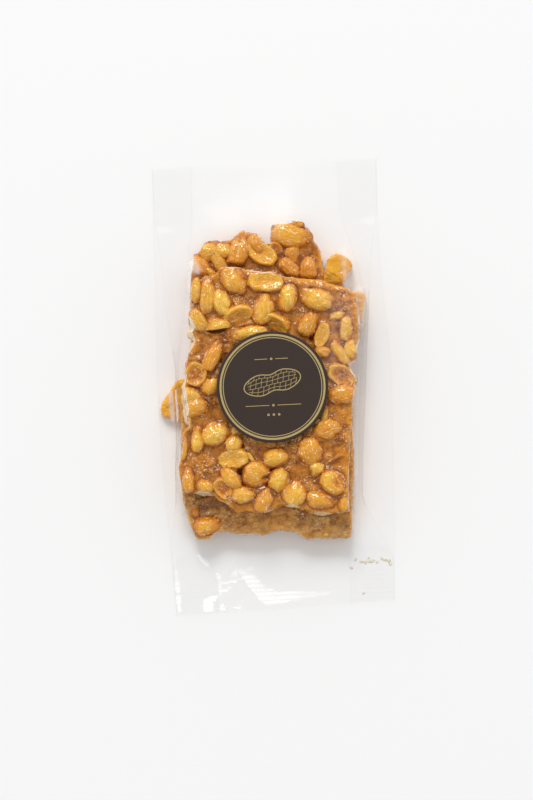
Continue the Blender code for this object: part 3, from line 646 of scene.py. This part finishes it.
def make_peanuts(name, peanuts, sides, high, surface, leans, seed, material, least_glaze=0.0):
    """All the peanuts of a slab as one piece; each stands out of it by its crown. The marks are cut, where the
    slab's edge snapped a peanut; inner, its split face; tint, from deep to pale; shade_and_glaze, highest low on
    each peanut, near the caramel, and in a split face's hollow, where the material paints it darker as pooled
    glaze and painted shade; and own, a place on the peanut itself."""
    ring = outline_of(sides, 0.5)[1]
    out = outward_of(ring)
    points, quads, fans = [], [], []
    marks = dict(cut=[], inner=[], tint=[], shade_and_glaze=[], own=[])
    for number, (x, y, length, width, turn, kind) in enumerate(peanuts):
        rng = np.random.default_rng((seed, number))
        shape, inner, hollow = peanut_points(kind, rng)
        marks["own"].append(shape + rng.uniform(0, 40, 3))
        thick = {SIDE: 1.1, CHIP: 0.9, CRUMB: 0.3}.get(kind, 0.86)
        wide = {SIDE: 1.15, EDGE: 1.4}.get(kind, 1.0)
        larger = 1.35 if kind == CRUMB else 1.12
        shape = shape * np.array([length, width * wide, width * thick]) * larger / 2
        roll = rng.uniform(-12, 12) + (42 if kind == SIDE else 0)
        tilt = turn_matrix(turn, 2) @ turn_matrix(rng.uniform(-9, 9), 1) @ turn_matrix(roll, 0)
        shape = shape @ tilt.T
        least, share = PEANUT_CROWNS.get(kind, (0.9, 0.31))
        crown = min(least + share * width, HIGHEST_CROWN)
        level = high + float(surface(np.array(x), np.array(y)))
        if high == TOP_HIGH and math.dist((x, y), (LABEL_X, LABEL_Y)) < LABEL_RADIUS + length / 2:
            crown = min(crown, label_low - 0.35 - level)
        shape = shape + np.array([x, y, level + crown - shape[:, 2].max()])
        away = np.hypot(ring[:, 0] - x, ring[:, 1] - y)
        near = away.argmin()
        cut = np.zeros(len(shape))
        if away[near] < length / 2 + 1:
            way = ring[near] - (x, y)
            way = way / np.linalg.norm(way) * (1 if np.dot(way, out[near]) > 0 else -1)
            lean = lean_at(ring[near:near + 1], leans)[0] / LEAN_DEPTH
            beyond = (shape[:, :2] - ring[near]) @ way - lean * (high - shape[:, 2]) - 0.15
            over = beyond > 0
            shape[over, :2] -= beyond[over, None] * way
            cut = smooth_step(beyond, -0.05, 0.25)
        points.append(shape)
        face, fan = closed_faces(RINGS, SPOKES, number * (RINGS * SPOKES + 2))
        quads.append(face)
        fans.append(fan)
        marks["cut"].append(np.maximum(cut, 0.95 * (kind == CRUMB)))
        marks["inner"].append(inner)
        marks["tint"].append(np.full(len(shape), rng.uniform(*PEANUT_TINTS[kind])))
        glazed = {COATED: 0.4, SUNK: 0.6}.get(kind, least_glaze * rng.uniform(0.4, 1.6))
        share = np.clip((shape[:, 2] - level) / crown, 0, 1)
        # Painted shade and pooled glaze: the lower a point sits on the peanut, the darker it is painted.
        low_glaze_shade = np.maximum(1 - smooth_step(share ** 1.7, -0.05, 0.95), glazed) * (kind != CRUMB)
        # Painted shade and pooled glaze in the hollow of a split face.
        pooled_glaze_shade = {OPEN: 0.85, DIMPLE: 0.8, SIDE: 0.5}.get(kind, 0.3)
        marks["shade_and_glaze"].append(low_glaze_shade * (1 - inner) + pooled_glaze_shade * hollow)
    points = np.vstack(points)
    contents.append(points)
    make_piece(name, points, np.vstack(quads), material, "bag", triangles=np.vstack(fans),
               marks={key: np.concatenate(value) for key, value in marks.items()})


# Roasted peanut under a thin glaze of caramel. It is golden and slightly see-through, glossy from the glaze,
# streaked along its length, paler and duller on a split face, and cream where it is snapped. It is painted
# darker amber and brown low on each peanut and in a split face's hollow, partly as pooled glaze and partly as
# painted shade, and short pale dashes along the streaks are painted highlights.
roasted, add = new_material("glazed roasted peanut")
place = add("TexCoord", out="Object")
own = add("Attribute", out="Vector", attribute_name="own")
tint, inner, shade_and_glaze, cut = [add("Attribute", out="Fac", attribute_name=mark)
                         for mark in ("tint", "inner", "shade_and_glaze", "cut")]
mottle = add("TexNoise", place, Scale=500.0, Detail=4.0, Roughness=0.68)
lengthwise = add("Mapping", own, Scale=(0.9, 3.4, 3.4))
streaks = add("TexNoise", lengthwise, Scale=1.6, Detail=4.0, Roughness=0.6)
dashes = add("TexNoise", add("Mapping", own, Scale=(4.6, 8.8, 8.8)), Scale=1.0, Roughness=0.6)
# Painted highlight: short pale dashes, the sparkle of the wet glaze.
painted_sparkle = add("MapRange", dashes, From_Min=0.57, From_Max=0.65)
where = add("MapRange", streaks, From_Min=0.42, From_Max=0.6, To_Min=0.1, To_Max=0.9)
tone = add("Math.MULTIPLY_ADD", add("Math.ADD", mottle, streaks), 1.5, tint)
uneven = add("Math.MULTIPLY_ADD", mottle, 1.9, -1.0)
pooled_glaze_shade = add("Math.MULTIPLY_ADD", mottle, 1.2, shade_and_glaze)
colour = laid_over(add, "E48A00", (
    (add("MapRange", tone, From_Min=1.2, From_Max=2.7), "FFD048"),
    (add("Math.MULTIPLY", inner, 0.25), "F8B440"),
    # Painted shade and pooled glaze: amber low on each peanut.
    (add("Math.MULTIPLY_ADD", shade_and_glaze, 1.05, uneven, use_clamp=True), "CC7000"),
    # Painted shade and pooled glaze: deep brown in the lowest parts and in split hollows.
    (add("MapRange", pooled_glaze_shade, From_Min=1.35, From_Max=1.85), "8C4200"),
    # Painted highlight: short pale dashes along the streaks.
    (add("Math.MULTIPLY", painted_sparkle, where), "FFF0CC"),
    (cut, "FFF6E0")))
veins = add("Bump", Strength=0.7, Distance=0.0006, Height=streaks)
glaze = add("Bump", Strength=0.7, Distance=0.0009, Height=mottle, Normal=veins)
grain = add("TexNoise", place, Scale=1000.0, Detail=4.0, Roughness=0.7)
fine = add("Bump", Strength=0.5, Distance=0.0004, Height=grain, Normal=glaze)
pooling = add("TexNoise", place, Scale=500.0, Detail=0.6)
wobble = add("Bump", Strength=0.85, Distance=0.0009, Height=pooling)
add("OutputMaterial", add(
    "BsdfPrincipled", colour, Roughness=0.32, IOR=1.47, Specular_IOR_Level=0.05, Coat_Weight=0.92,
    Coat_Roughness=0.04, Subsurface_Weight=0.06, Subsurface_Scale=0.002, Subsurface_Radius=(1.0, 0.5, 0.15),
    Normal=fine, Coat_Normal=wobble))

make_peanuts("lower_peanuts", LOWER_PEANUTS, LOWER_SIDES, LOWER_TOP, tray_face, (), 21, roasted)
make_peanuts("back_peanuts", BACK_PEANUTS, BACK_SIDES, BACK_TOP, back_face, (), 22, roasted, 0.38)
make_peanuts("top_peanuts", TOP_PEANUTS, TOP_SIDES, TOP_HIGH, top_face, TOP_LEANS, 23, roasted, 0.2)

# Crumbs of brittle that collected flat in the lower right corner of the bag, against the seal.
CRUMBS = ((35.8, -82.9, 1.5, 0.9, 10), (38.1, -83, 1.3, 0.9, 70), (40.6, -82.7, 2.0, 0.9, 5),
          (43.2, -83.2, 0.9, 0.7, 30), (47.1, -82.5, 1.8, 1.0, -10), (48.9, -83.2, 1.4, 1.0, 60),
          (49.3, -84.6, 1.0, 0.8, 20), (31.5, -85.5, 1.0, 0.7, 0), (33.4, -81.6, 0.9, 0.6, 40),
          (36.4, -97.4, 0.9, 0.7, 15), (45.4, -81.7, 0.8, 0.6, 80), (39.4, -81.2, 0.7, 0.6, 0))
CRUMBS = [(*crumb, CRUMB) for crumb in CRUMBS]
make_peanuts("crumbs", CRUMBS, LOWER_SIDES, 0.12, lambda x, y: 0 * x, (), 24, roasted)


# The film bag. Clear polypropylene about 0.04 mm thick: a flat back, a front drawn over the brittle, and a
# gusset folded in at each side, heat sealed with crimping jaws at both ends.
END = 102.5
FILM_STEP = 0.8
film_y = np.linspace(-END, END, int(2 * END / FILM_STEP) + 1)


def along_bag(*pairs):
    """A value along the bag's length from (y, value) pairs: straight between them, then averaged over 8 mm."""
    fine = np.arange(-END - 12, END + 12.1, 0.5)
    line = np.interp(fine, [pair[0] for pair in pairs], [pair[1] for pair in pairs])
    soft = np.convolve(np.pad(line, 8, mode="edge"), np.ones(17) / 17, mode="valid")
    return np.interp(film_y, fine, soft)


EDGE_Z, CREASE_Z, FRONT_Z = 0.2, 0.3, 0.45
back_left = along_bag(
    (-END, -50.2), (-72, -51.6), (-40, -53.2), (-7, -54), (28, -53.2), (79, -52.2), (END, -51.6))
back_right = along_bag(
    (-END, 50.2), (-64, 51.9), (-23, 53), (5, 54), (28, 52.4), (56, 50.8), (84, 51), (END, 51.6))
fold_left = along_bag(
    (-END, -50.2), (-82, -51), (-68, -50.4), (-50, -47.6), (-36, -47.2), (-27, -46.4), (5, -44.9), (13, -45.2),
    (37, -47.9), (62, -49.5), (80, -51.8), (END, -51.6))
fold_right = along_bag(
    (-END, 50.2), (-82, 51), (-68, 44.5), (-54, 37.5), (-31, 38.6), (-8, 40.6), (20, 43), (37, 44.6),
    (56, 46.5), (80, 50.8), (END, 51.6))
fold_height = along_bag(
    (-82, FRONT_Z), (-72, 5), (-50, 9.5), (-38, 12.5), (32, 12.5), (45, 8), (62, 5), (80, FRONT_Z))
crease_left = along_bag(
    (-END, -31.5), (-82, -31.5), (-72, -40), (-60, -45), (-30, -45.9), (-10, -43.6), (13, -44), (32, -40.6),
    (60, -37), (78, -34.5), (END, -34))
crease_right = along_bag(
    (-END, 30.5), (-82, 30.7), (-70, 35.5), (-55, 35.8), (-30, 37), (-8, 38.4), (20, 41.2), (37, 43.7),
    (56, 40), (78, 34), (END, 33.5))
crease_height = along_bag((-82, CREASE_Z), (-68, 2.2), (62, 2.2), (80, CREASE_Z))
left_crease_height = crease_height + 4.2 * np.exp(-((film_y + 4.5) / 9) ** 2)


def top_of_contents(x, y):
    """The contents' height under each place: the highest of their points in cells of 0.7 mm and in the cells
    beside them, blended between cells; 0 where there is nothing."""
    cell = 0.7
    shape = (int(110 / cell), int(210 / cell))
    tops = np.zeros(shape)
    for cloud in contents:
        i = ((cloud[:, 0] + 55) / cell).astype(int)
        j = ((cloud[:, 1] + 105) / cell).astype(int)
        np.maximum.at(tops, (i, j), cloud[:, 2])
    wide = np.maximum.reduce([np.roll(tops, shift, axis=(0, 1)) for shift in AROUND])
    u = np.clip((x + 55) / cell - 0.5, 0, shape[0] - 2)
    v = np.clip((y + 105) / cell - 0.5, 0, shape[1] - 2)
    i, j = u.astype(int), v.astype(int)
    s, t = u - i, v - j
    return ((wide[i, j] * (1 - s) + wide[i + 1, j] * s) * (1 - t)
            + (wide[i, j + 1] * (1 - s) + wide[i + 1, j + 1] * s) * t)


def stretch_over(height, under, passes):
    """A stretched film: each point of the grid, but for its border, settles to the mean of its four
    neighbours, and never under what lies below it."""
    height = np.maximum(height, under)
    for _ in range(passes):
        mean = (height[:-2, 1:-1] + height[2:, 1:-1] + height[1:-1, :-2] + height[1:-1, 2:]) / 4
        height[1:-1, 1:-1] = np.maximum(mean, under[1:-1, 1:-1])
    return height


def panel(from_x, from_z, to_x, to_z, columns):
    """A panel ruled between two long edges, rows along the bag by columns: x, y and the straight height."""
    t = np.linspace(0, 1, columns)[None, :]
    x = from_x[:, None] * (1 - t) + to_x[:, None] * t
    z = from_z[:, None] * (1 - t) + to_z[:, None] * t
    return x, film_y[:, None] + 0 * x, z


FIRST_FIN, SECOND_FIN = -79.5, 79
FRONT_PASSES, GUSSET_PASSES, SMOOTHINGS = 1400, 60, 10
in_fin = ((film_y < FIRST_FIN) | (film_y > SECOND_FIN))[:, None]
open_part = smooth_step(film_y, -80, -72) * smooth_step(-film_y, -79.5, -72)
edge_z = np.full(len(film_y), EDGE_Z)
fold_z = FRONT_Z + open_part * np.maximum(fold_height - FRONT_Z, 0)
left_z = CREASE_Z + open_part * np.maximum(left_crease_height - CREASE_Z, 0)
right_z = CREASE_Z + open_part * np.maximum(crease_height - CREASE_Z, 0)
front_x, front_y, front_z = panel(fold_right, fold_z, fold_left, fold_z, 131)
under_front = top_of_contents(front_x, front_y)
under_label = np.hypot(front_x - LABEL_X, front_y - LABEL_Y) < LABEL_RADIUS + 0.3
under_front = np.where(under_label, label_low - 0.2, under_front + 0.12)
under_front = np.where(in_fin, FRONT_Z, np.maximum(under_front, FRONT_Z))
front_z = stretch_over(np.maximum(front_z, FRONT_Z), under_front, FRONT_PASSES)
for _ in range(SMOOTHINGS):
    soft = (front_z[:-2, 1:-1] + 2 * front_z[1:-1, 1:-1] + front_z[2:, 1:-1]) / 4
    front_z[1:-1, 1:-1] = np.where(np.abs(film_y[1:-1, None]) > 70, soft, front_z[1:-1, 1:-1])


def skew_at(x, y):
    """How far the bottom end is pulled askew along the bag, in mm."""
    return 1.2 * (x / 51) * smooth_step(-y, 60, 100)


BACK_COLUMNS = 41
back_z = np.full(len(film_y), 0.1)
sections = [panel(back_left, back_z, back_right, back_z, BACK_COLUMNS),
            panel(back_right, edge_z, crease_right, right_z, 19),
            panel(crease_right, right_z, fold_right, fold_z, 15),
            (front_x, front_y, front_z),
            panel(fold_left, fold_z, crease_left, left_z, 15),
            panel(crease_left, left_z, back_left, edge_z, 19)]
for number in (1, 5):
    x, y, z = sections[number]
    low = np.where(in_fin, EDGE_Z, np.maximum(z, top_of_contents(x, y) + 0.15))
    sections[number] = (x, y, stretch_over(z, np.minimum(low, z + 4), GUSSET_PASSES))
x, y, z = [np.hstack([part[axis][:, :-1] for part in sections]) for axis in range(3)]
count = x.shape[1]
RIB_PITCH = 2.5
crimp = smooth_step(np.abs(y), 84, 88.5) * smooth_step(-np.abs(y), -102.2, -101)
grip = np.where(y < 0, 0.55 + 0.45 * noise(x, y, 14.0, 71), 0.25)
z = z + 0.2 * crimp * (1 + np.sin(2 * math.pi * (y + 0.02 * x) / RIB_PITCH)) * grip
y = y + skew_at(x, y)
HAZES = (((-48, -1), (-47.4, -13), 1.2, 0.35), ((-45.3, 0), (-45.1, -14), 0.35, 0.6),
         ((40.8, 41), (40.5, 27), 2.4, 0.2), ((33.8, 60), (35.2, 44), 2.2, 0.16),
         ((-34.2, 57), (-33, 54), 2.2, 0.28), ((-36.3, 53), (-36.6, 44), 0.7, 0.3),
         ((31, 34), (31, 4), 8.0, 0.05))


def haze_at(x, y):
    """How milky the doubled film is: along each short line, strength times exp(-(distance / half width)^4),
    broken up by noise drawn out along the bag."""
    most = np.zeros(np.shape(x))
    for start, end, half, strength in HAZES:
        most = np.maximum(most, strength * np.exp(-(line_distance(x, y, start, end) / half) ** 4))
    return most * (1 + 0.5 * noise(x, 0.15 * y, 0.9, 72))


GLINTS = (
    ((-31.1, 59.6), (-29.6, 59.8), (-26.6, 55.8), (-28.2, 55.2)),
    ((-50.4, -75.5), (-50.0, -75.5), (-48.5, -102), (-48.9, -102)),
    ((-30.6, -84.5), (-29.8, -84.5), (-28.4, -102), (-29.8, -102)),
    ((-36.8, -96.6), (-30.6, -95), (-30.8, -96.2), (-33.6, -97.4), (-34.2, -102), (-37.3, -102)),
    ((-21.2, -83.2), (-19.4, -82.8), (-14.3, -86), (-9, -92.2), (-2.6, -95), (8, -95), (21, -96.5),
     (8, -98.2), (-1.8, -99.8), (-9, -100.6), (-14.4, -94)),
    ((-24, -100.6), (-22.2, -100), (-19.4, -102), (-24, -102)),
    ((-17.6, -82.8), (-12.8, -82), (-12.4, -83.6), (-17.2, -84.4)),
    ((-25.4, -86.6), (-21.8, -83.2), (-21.8, -86.4)),
    ((-29.6, -89.5), (-18.6, -87), (-18.6, -87.9), (-29.6, -90.4)),
    ((-29.2, -92.6), (-24.2, -91.2), (-24.2, -92.2), (-29.2, -93.6)),
    ((-40.5, -75.6), (-38, -75.6), (-33.5, -81), (-35, -81.5)),
    ((-24.5, -49.2), (-11, -50.4), (-11, -50.9), (-24.5, -49.8)))
TO_LAMP = (-0.025, 0.453, 0.891)


def glint_at(x, y):
    """1 inside the outline of any creased facet that mirrors the lamp: a point is inside when a level line
    from it crosses the outline an odd number of times."""
    inside = np.zeros(np.shape(x), bool)
    for outline in GLINTS:
        odd = np.zeros(np.shape(x), bool)
        for (x0, y0), (x1, y1) in zip(outline, outline[1:] + outline[:1]):
            if y0 != y1:
                odd ^= ((y0 > y) != (y1 > y)) & (x < (x1 - x0) * (y - y0) / (y1 - y0) + x0)
        inside |= odd
    return inside.astype(float)


on_front = np.arange(count) >= BACK_COLUMNS - 1
glints = glint_at(x, y) * on_front * np.clip(0.6 + 0.7 * noise(x + 0.6 * y, y, 2.6, 73), 0.13, 1)
crimp = crimp * (y < 0) * (0.5 + 0.5 * noise(x, y, 9.0, 74))
film_marks = {"haze": haze_at(x, y) * on_front, "pressed": crimp, "glint": glints}
film_quads = closed_faces(len(film_y), count)[0][:, ::-1]

# Clear polypropylene: nearly all light passes. It mirrors at grazing angles, on the ribs of the seals and, as
# creased facets, towards the lamp, and is milky where it lies double.
clear_film, add = new_material("clear polypropylene film")
place = add("TexCoord", out="Object")
pressed, glint, haze = [add("Attribute", out="Fac", attribute_name=mark)
                        for mark in ("pressed", "glint", "haze")]
ribs = add("TexWave", place, out="Fac", Scale=150.0, Distortion=0.6, Detail=1.0, Detail_Scale=0.3,
           wave_type="BANDS", bands_direction="Y")
rib_height = add("Math.MULTIPLY", ribs, pressed)
ribbed = add("Bump", Strength=0.7, Distance=0.0003, Height=rib_height)
is_glint = add("Math.GREATER_THAN", glint, 0.12)
creased = add("Mix", is_glint, ribbed, TO_LAMP, data_type="VECTOR")
gloss = add("BsdfGlossy", (1.0, 1.0, 1.0, 1.0), 0.12, Normal=add("VectorMath.NORMALIZE", creased))
edge_on = add("Math.POWER", add("LayerWeight", 0.5, out="Facing"), 5.0)
seen_through = laid_over(add, (0.999, 0.999, 0.999, 1.0), [(edge_on, (0.78, 0.75, 0.73, 1.0))])
flat_on = add("Math.MULTIPLY_ADD", rib_height, 0.013, 0.003)
banded = add("Math.MULTIPLY_ADD", ribs, 0.9, 0.2)
mirrored = add("Math.MULTIPLY", glint, banded)
bright = add("Math.MULTIPLY_ADD", mirrored, 0.0052, flat_on)
sheen = add("Math.MULTIPLY_ADD", edge_on, 0.07, bright)
clear = add("MixShader", sheen, add("BsdfTransparent", seen_through), gloss)
add("OutputMaterial", add("MixShader", haze, clear, add("BsdfDiffuse", (0.97, 0.95, 0.94, 1.0))))
make_piece("film_bag", np.dstack([x, y, z]).reshape(-1, 3), film_quads, clear_film, "bag",
           marks={mark: values.ravel() for mark, values in film_marks.items()}, sharp=55)

# The bag's six long edges and folds. Where the film is folded sharply it stands up in a thin round bead, which
# catches more light than the flat film.
FOLD_RADIUS = 0.16
FOLD_SIDES = 8
bead_turn = np.linspace(0, 2 * math.pi, FOLD_SIDES, endpoint=False)
beads, bead_faces, bead_caps = [], [], []
edges = ((back_left, edge_z), (back_right, edge_z), (fold_left, fold_z), (fold_right, fold_z),
         (crease_left, left_z), (crease_right, right_z))
for number, (edge_x, edge_h) in enumerate(edges):
    tube = np.dstack([edge_x[:, None] + FOLD_RADIUS * np.cos(bead_turn), film_y[:, None] + 0 * bead_turn,
                      edge_h[:, None] + 0.05 + FOLD_RADIUS * np.sin(bead_turn)])
    tube[..., 1] += skew_at(tube[..., 0], tube[..., 1])
    beads.append(tube.reshape(-1, 3))
    first = number * len(film_y) * FOLD_SIDES
    last = first + (len(film_y) - 1) * FOLD_SIDES
    bead_faces.append(closed_faces(len(film_y), FOLD_SIDES, first)[0][:, [0, 3, 2, 1]])
    bead_caps += [(first, first + k, first + k + 1) for k in range(1, FOLD_SIDES - 1)]
    bead_caps += [(last, last + k + 1, last + k) for k in range(1, FOLD_SIDES - 1)]
bead_points = np.vstack(beads)
make_piece("film_folds", bead_points, np.vstack(bead_faces), clear_film, "bag",
           triangles=bead_caps, marks={mark: np.zeros(len(bead_points)) for mark in film_marks})

# The sticker. Dark brown coated paper, die cut round, printed with two thin gold rings and a plain drawing of
# a peanut pod between two rules; it lies on the film with a very slight wave.
def label_height(x, y):
    """The sticker's upper face: level, with a wave of a tenth of a millimetre."""
    return label_high - 0.05 + 0.1 * noise(x, y, 17.0, 81)


turns = np.linspace(0, 2 * math.pi, 180, endpoint=False)
FLAT_RINGS = 46
radii = np.append(np.linspace(0.6, LABEL_RADIUS - 0.3, FLAT_RINGS),
                  [LABEL_RADIUS - 0.1, LABEL_RADIUS, LABEL_RADIUS])
drop = np.append(np.zeros(FLAT_RINGS), [0.03, 0.12, 0.33])
lx = LABEL_X + radii[:, None] * np.cos(turns)
ly = LABEL_Y + radii[:, None] * np.sin(turns)
upper = np.dstack([lx, ly, label_height(lx, ly) - drop[:, None]]).reshape(-1, 3)
middle = label_height(np.array(LABEL_X), np.array(LABEL_Y))
centre = np.array([[LABEL_X, LABEL_Y, middle], [LABEL_X, LABEL_Y, label_low + 0.05]])
rim_quads, rim_fans = closed_faces(len(radii), len(turns))

# Coated paper printed dark brown all over: nearly even, with the fibres just felt under the coating.
paper, add = new_material("dark coated paper")
fibre = add("TexNoise", add("TexCoord", out="Object"), Scale=1600.0, Detail=3.0)
ink = laid_over(add, "2A1B13", [(fibre, "322219")])
tooth = add("Bump", Strength=0.08, Distance=0.0001, Height=fibre)
add("OutputMaterial", add("BsdfPrincipled", ink, Roughness=0.48, IOR=1.48, Normal=tooth))
make_piece("sticker", np.vstack([upper, centre]), rim_quads[:, [0, 3, 2, 1]], paper, "label",
           triangles=rim_fans[:, [0, 2, 1]], sharp=50)


def stroke(path, width, closed=False):
    """A printed line: a flat ribbon of that width along a path, laid on the sticker."""
    path = np.asarray(path, float)
    if closed:
        step = np.roll(path, -1, axis=0) - np.roll(path, 1, axis=0)
    else:
        step = np.gradient(path, axis=0)
    side = np.column_stack([-step[:, 1], step[:, 0]]) / np.linalg.norm(step, axis=1)[:, None] * width / 2
    both = np.vstack([path + side, path - side]) + (LABEL_X, LABEL_Y)
    n = len(path)
    a = np.arange(n if closed else n - 1)
    b = (a + 1) % n
    points = np.column_stack([both, label_height(both[:, 0], both[:, 1]) + 0.03])
    return points, np.column_stack([a, a + n, b + n, b])


circle = np.column_stack([np.cos(turns), np.sin(turns)])
POD_HALF, POD_RISE, POD_LEAN = 13.0, 2.0, math.radians(12)


def pod_line(along, share):
    """A line on the peanut pod: along from -1 to 1 of its length, at a share of its half width, which is
    5.4 sqrt(1 - s^2) less a waist of 1.8 exp(-(s / 0.3)^2); then the pod is leant."""
    half = 5.4 * np.sqrt(np.clip(1 - along ** 2, 0, 1)) - 1.8 * np.exp(-(along / 0.3) ** 2)
    px, py = POD_HALF * along, half * share
    return np.column_stack([px * math.cos(POD_LEAN) - py * math.sin(POD_LEAN),
                            px * math.sin(POD_LEAN) + py * math.cos(POD_LEAN) + POD_RISE])


sweep = np.sin(np.linspace(-math.pi / 2, math.pi / 2, 60))
pod = np.vstack([pod_line(sweep, 1.0), pod_line(sweep[::-1], -1.0)[1:-1]])
strokes = [stroke(circle * 23.3, 0.9, True), stroke(circle * 22.1, 0.35, True), stroke(pod, 0.42, True)]
seams = (-1.0, -0.62, -0.2, 0.25, 0.66, 1.0)
for share in seams[1:-1]:
    strokes.append(stroke(pod_line(0.86 * sweep, share), 0.2))
for row, shares in enumerate(zip(seams, seams[1:])):
    for at in np.arange(-0.78, 0.8, 0.195) + 0.05 * (row % 2):
        strokes.append(stroke(pod_line(at + 0.03 * np.linspace(-1, 1, 5), np.linspace(*shares, 5)), 0.18))
for side in (-1, 1):
    for reach, rule_y in ((12.5, -8.2), (7.5, 12.6)):
        rule = np.column_stack([side * np.linspace(1.8, reach, 12), np.full(12, rule_y)])
        strokes.append(stroke(rule, 0.28))
for dot_x, dot_y in ((0, -8.2), (0, 12.6), (0, -12.4), (-2.4, -12.4), (2.4, -12.4)):
    strokes.append(stroke(circle[::9] * 0.35 + (dot_x, dot_y), 0.4, True))
firsts = np.cumsum([0] + [len(line_points) for line_points, _ in strokes])
gold_quads = [line_quads + first for (_, line_quads), first in zip(strokes, firsts)]

# Gold ink: fine flakes of metal in a varnish, so it is duller than foil and a little uneven.
gold, add = new_material("gold ink")
flake = add("TexNoise", add("TexCoord", out="Object"), Scale=2500.0, Detail=1.0)
leaf = laid_over(add, "A89058", [(flake, "CDB67C")])
add("OutputMaterial", add("BsdfPrincipled", leaf, Roughness=0.4, Metallic=0.3))
make_piece("sticker_gold", np.vstack([line_points for line_points, _ in strokes]), np.vstack(gold_quads), gold,
           "label")

# The studio: a pale matt floor, an even white surround, a large soft lamp beyond the pack's top end, and a
# camera looking straight down.
FLOOR_HALF = 3.0
floor_mesh = bpy.data.meshes.new("floor")
corners = [(a * FLOOR_HALF, b * FLOOR_HALF, 0) for a, b in ((-1, -1), (1, -1), (1, 1), (-1, 1))]
floor_mesh.from_pydata(corners, [], [(0, 1, 2, 3)])
matt_white, add = new_material("matt white card")
add("OutputMaterial", add("BsdfPrincipled", "F4F4F4", Roughness=0.9, Specular_IOR_Level=0.1))
floor_mesh.materials.append(matt_white)
floor = put_in_scene("floor", floor_mesh)
floor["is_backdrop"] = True

world = bpy.data.worlds.new("white surround")
world.use_nodes = True
add = partial(add_node, world.node_tree)
direction = add("TexCoord", out="Generated")
overhead = add("MapRange", add("SeparateXYZ", direction, out="Z"), To_Min=1.03, To_Max=0.58)
sideways = add("VectorMath.DOT_PRODUCT", direction, (0.0, 0.3, 0.0))
strength = add("Math.MULTIPLY", overhead, add("Math.ADD", sideways, 1.0))
surround = world.node_tree.nodes["Background"]
surround.inputs["Color"].default_value = (1.0, 1.0, 1.0, 1.0)
world.node_tree.links.new(strength, surround.inputs["Strength"])
bpy.context.scene.world = world
softbox = bpy.data.lights.new("softbox", "AREA")
softbox.shape = "SQUARE"
softbox.size = 2.0
softbox.energy = 200.0
lamp = put_in_scene("softbox", softbox)
lamp.location = (-0.5, 4.8, 4.3)
lamp.rotation_euler = (math.radians(-48.3), 0, math.radians(6))

lens = bpy.data.cameras.new("camera")
lens.lens = 82.9
lens.sensor_width = 36.0
lens.clip_start = 0.01
camera = put_in_scene("camera", lens)
camera.location = (-0.00418, -0.00622, 0.850)
camera.rotation_euler = (0, 0, math.radians(-2.75))
bpy.context.scene.camera = camera
bpy.context.scene.view_settings.view_transform = "Standard"
bpy.context.scene.cycles.transparent_max_bounces = 24

{"cad": [list(corner) for corner in cad_box], "visual": [list(corner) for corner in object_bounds()]}
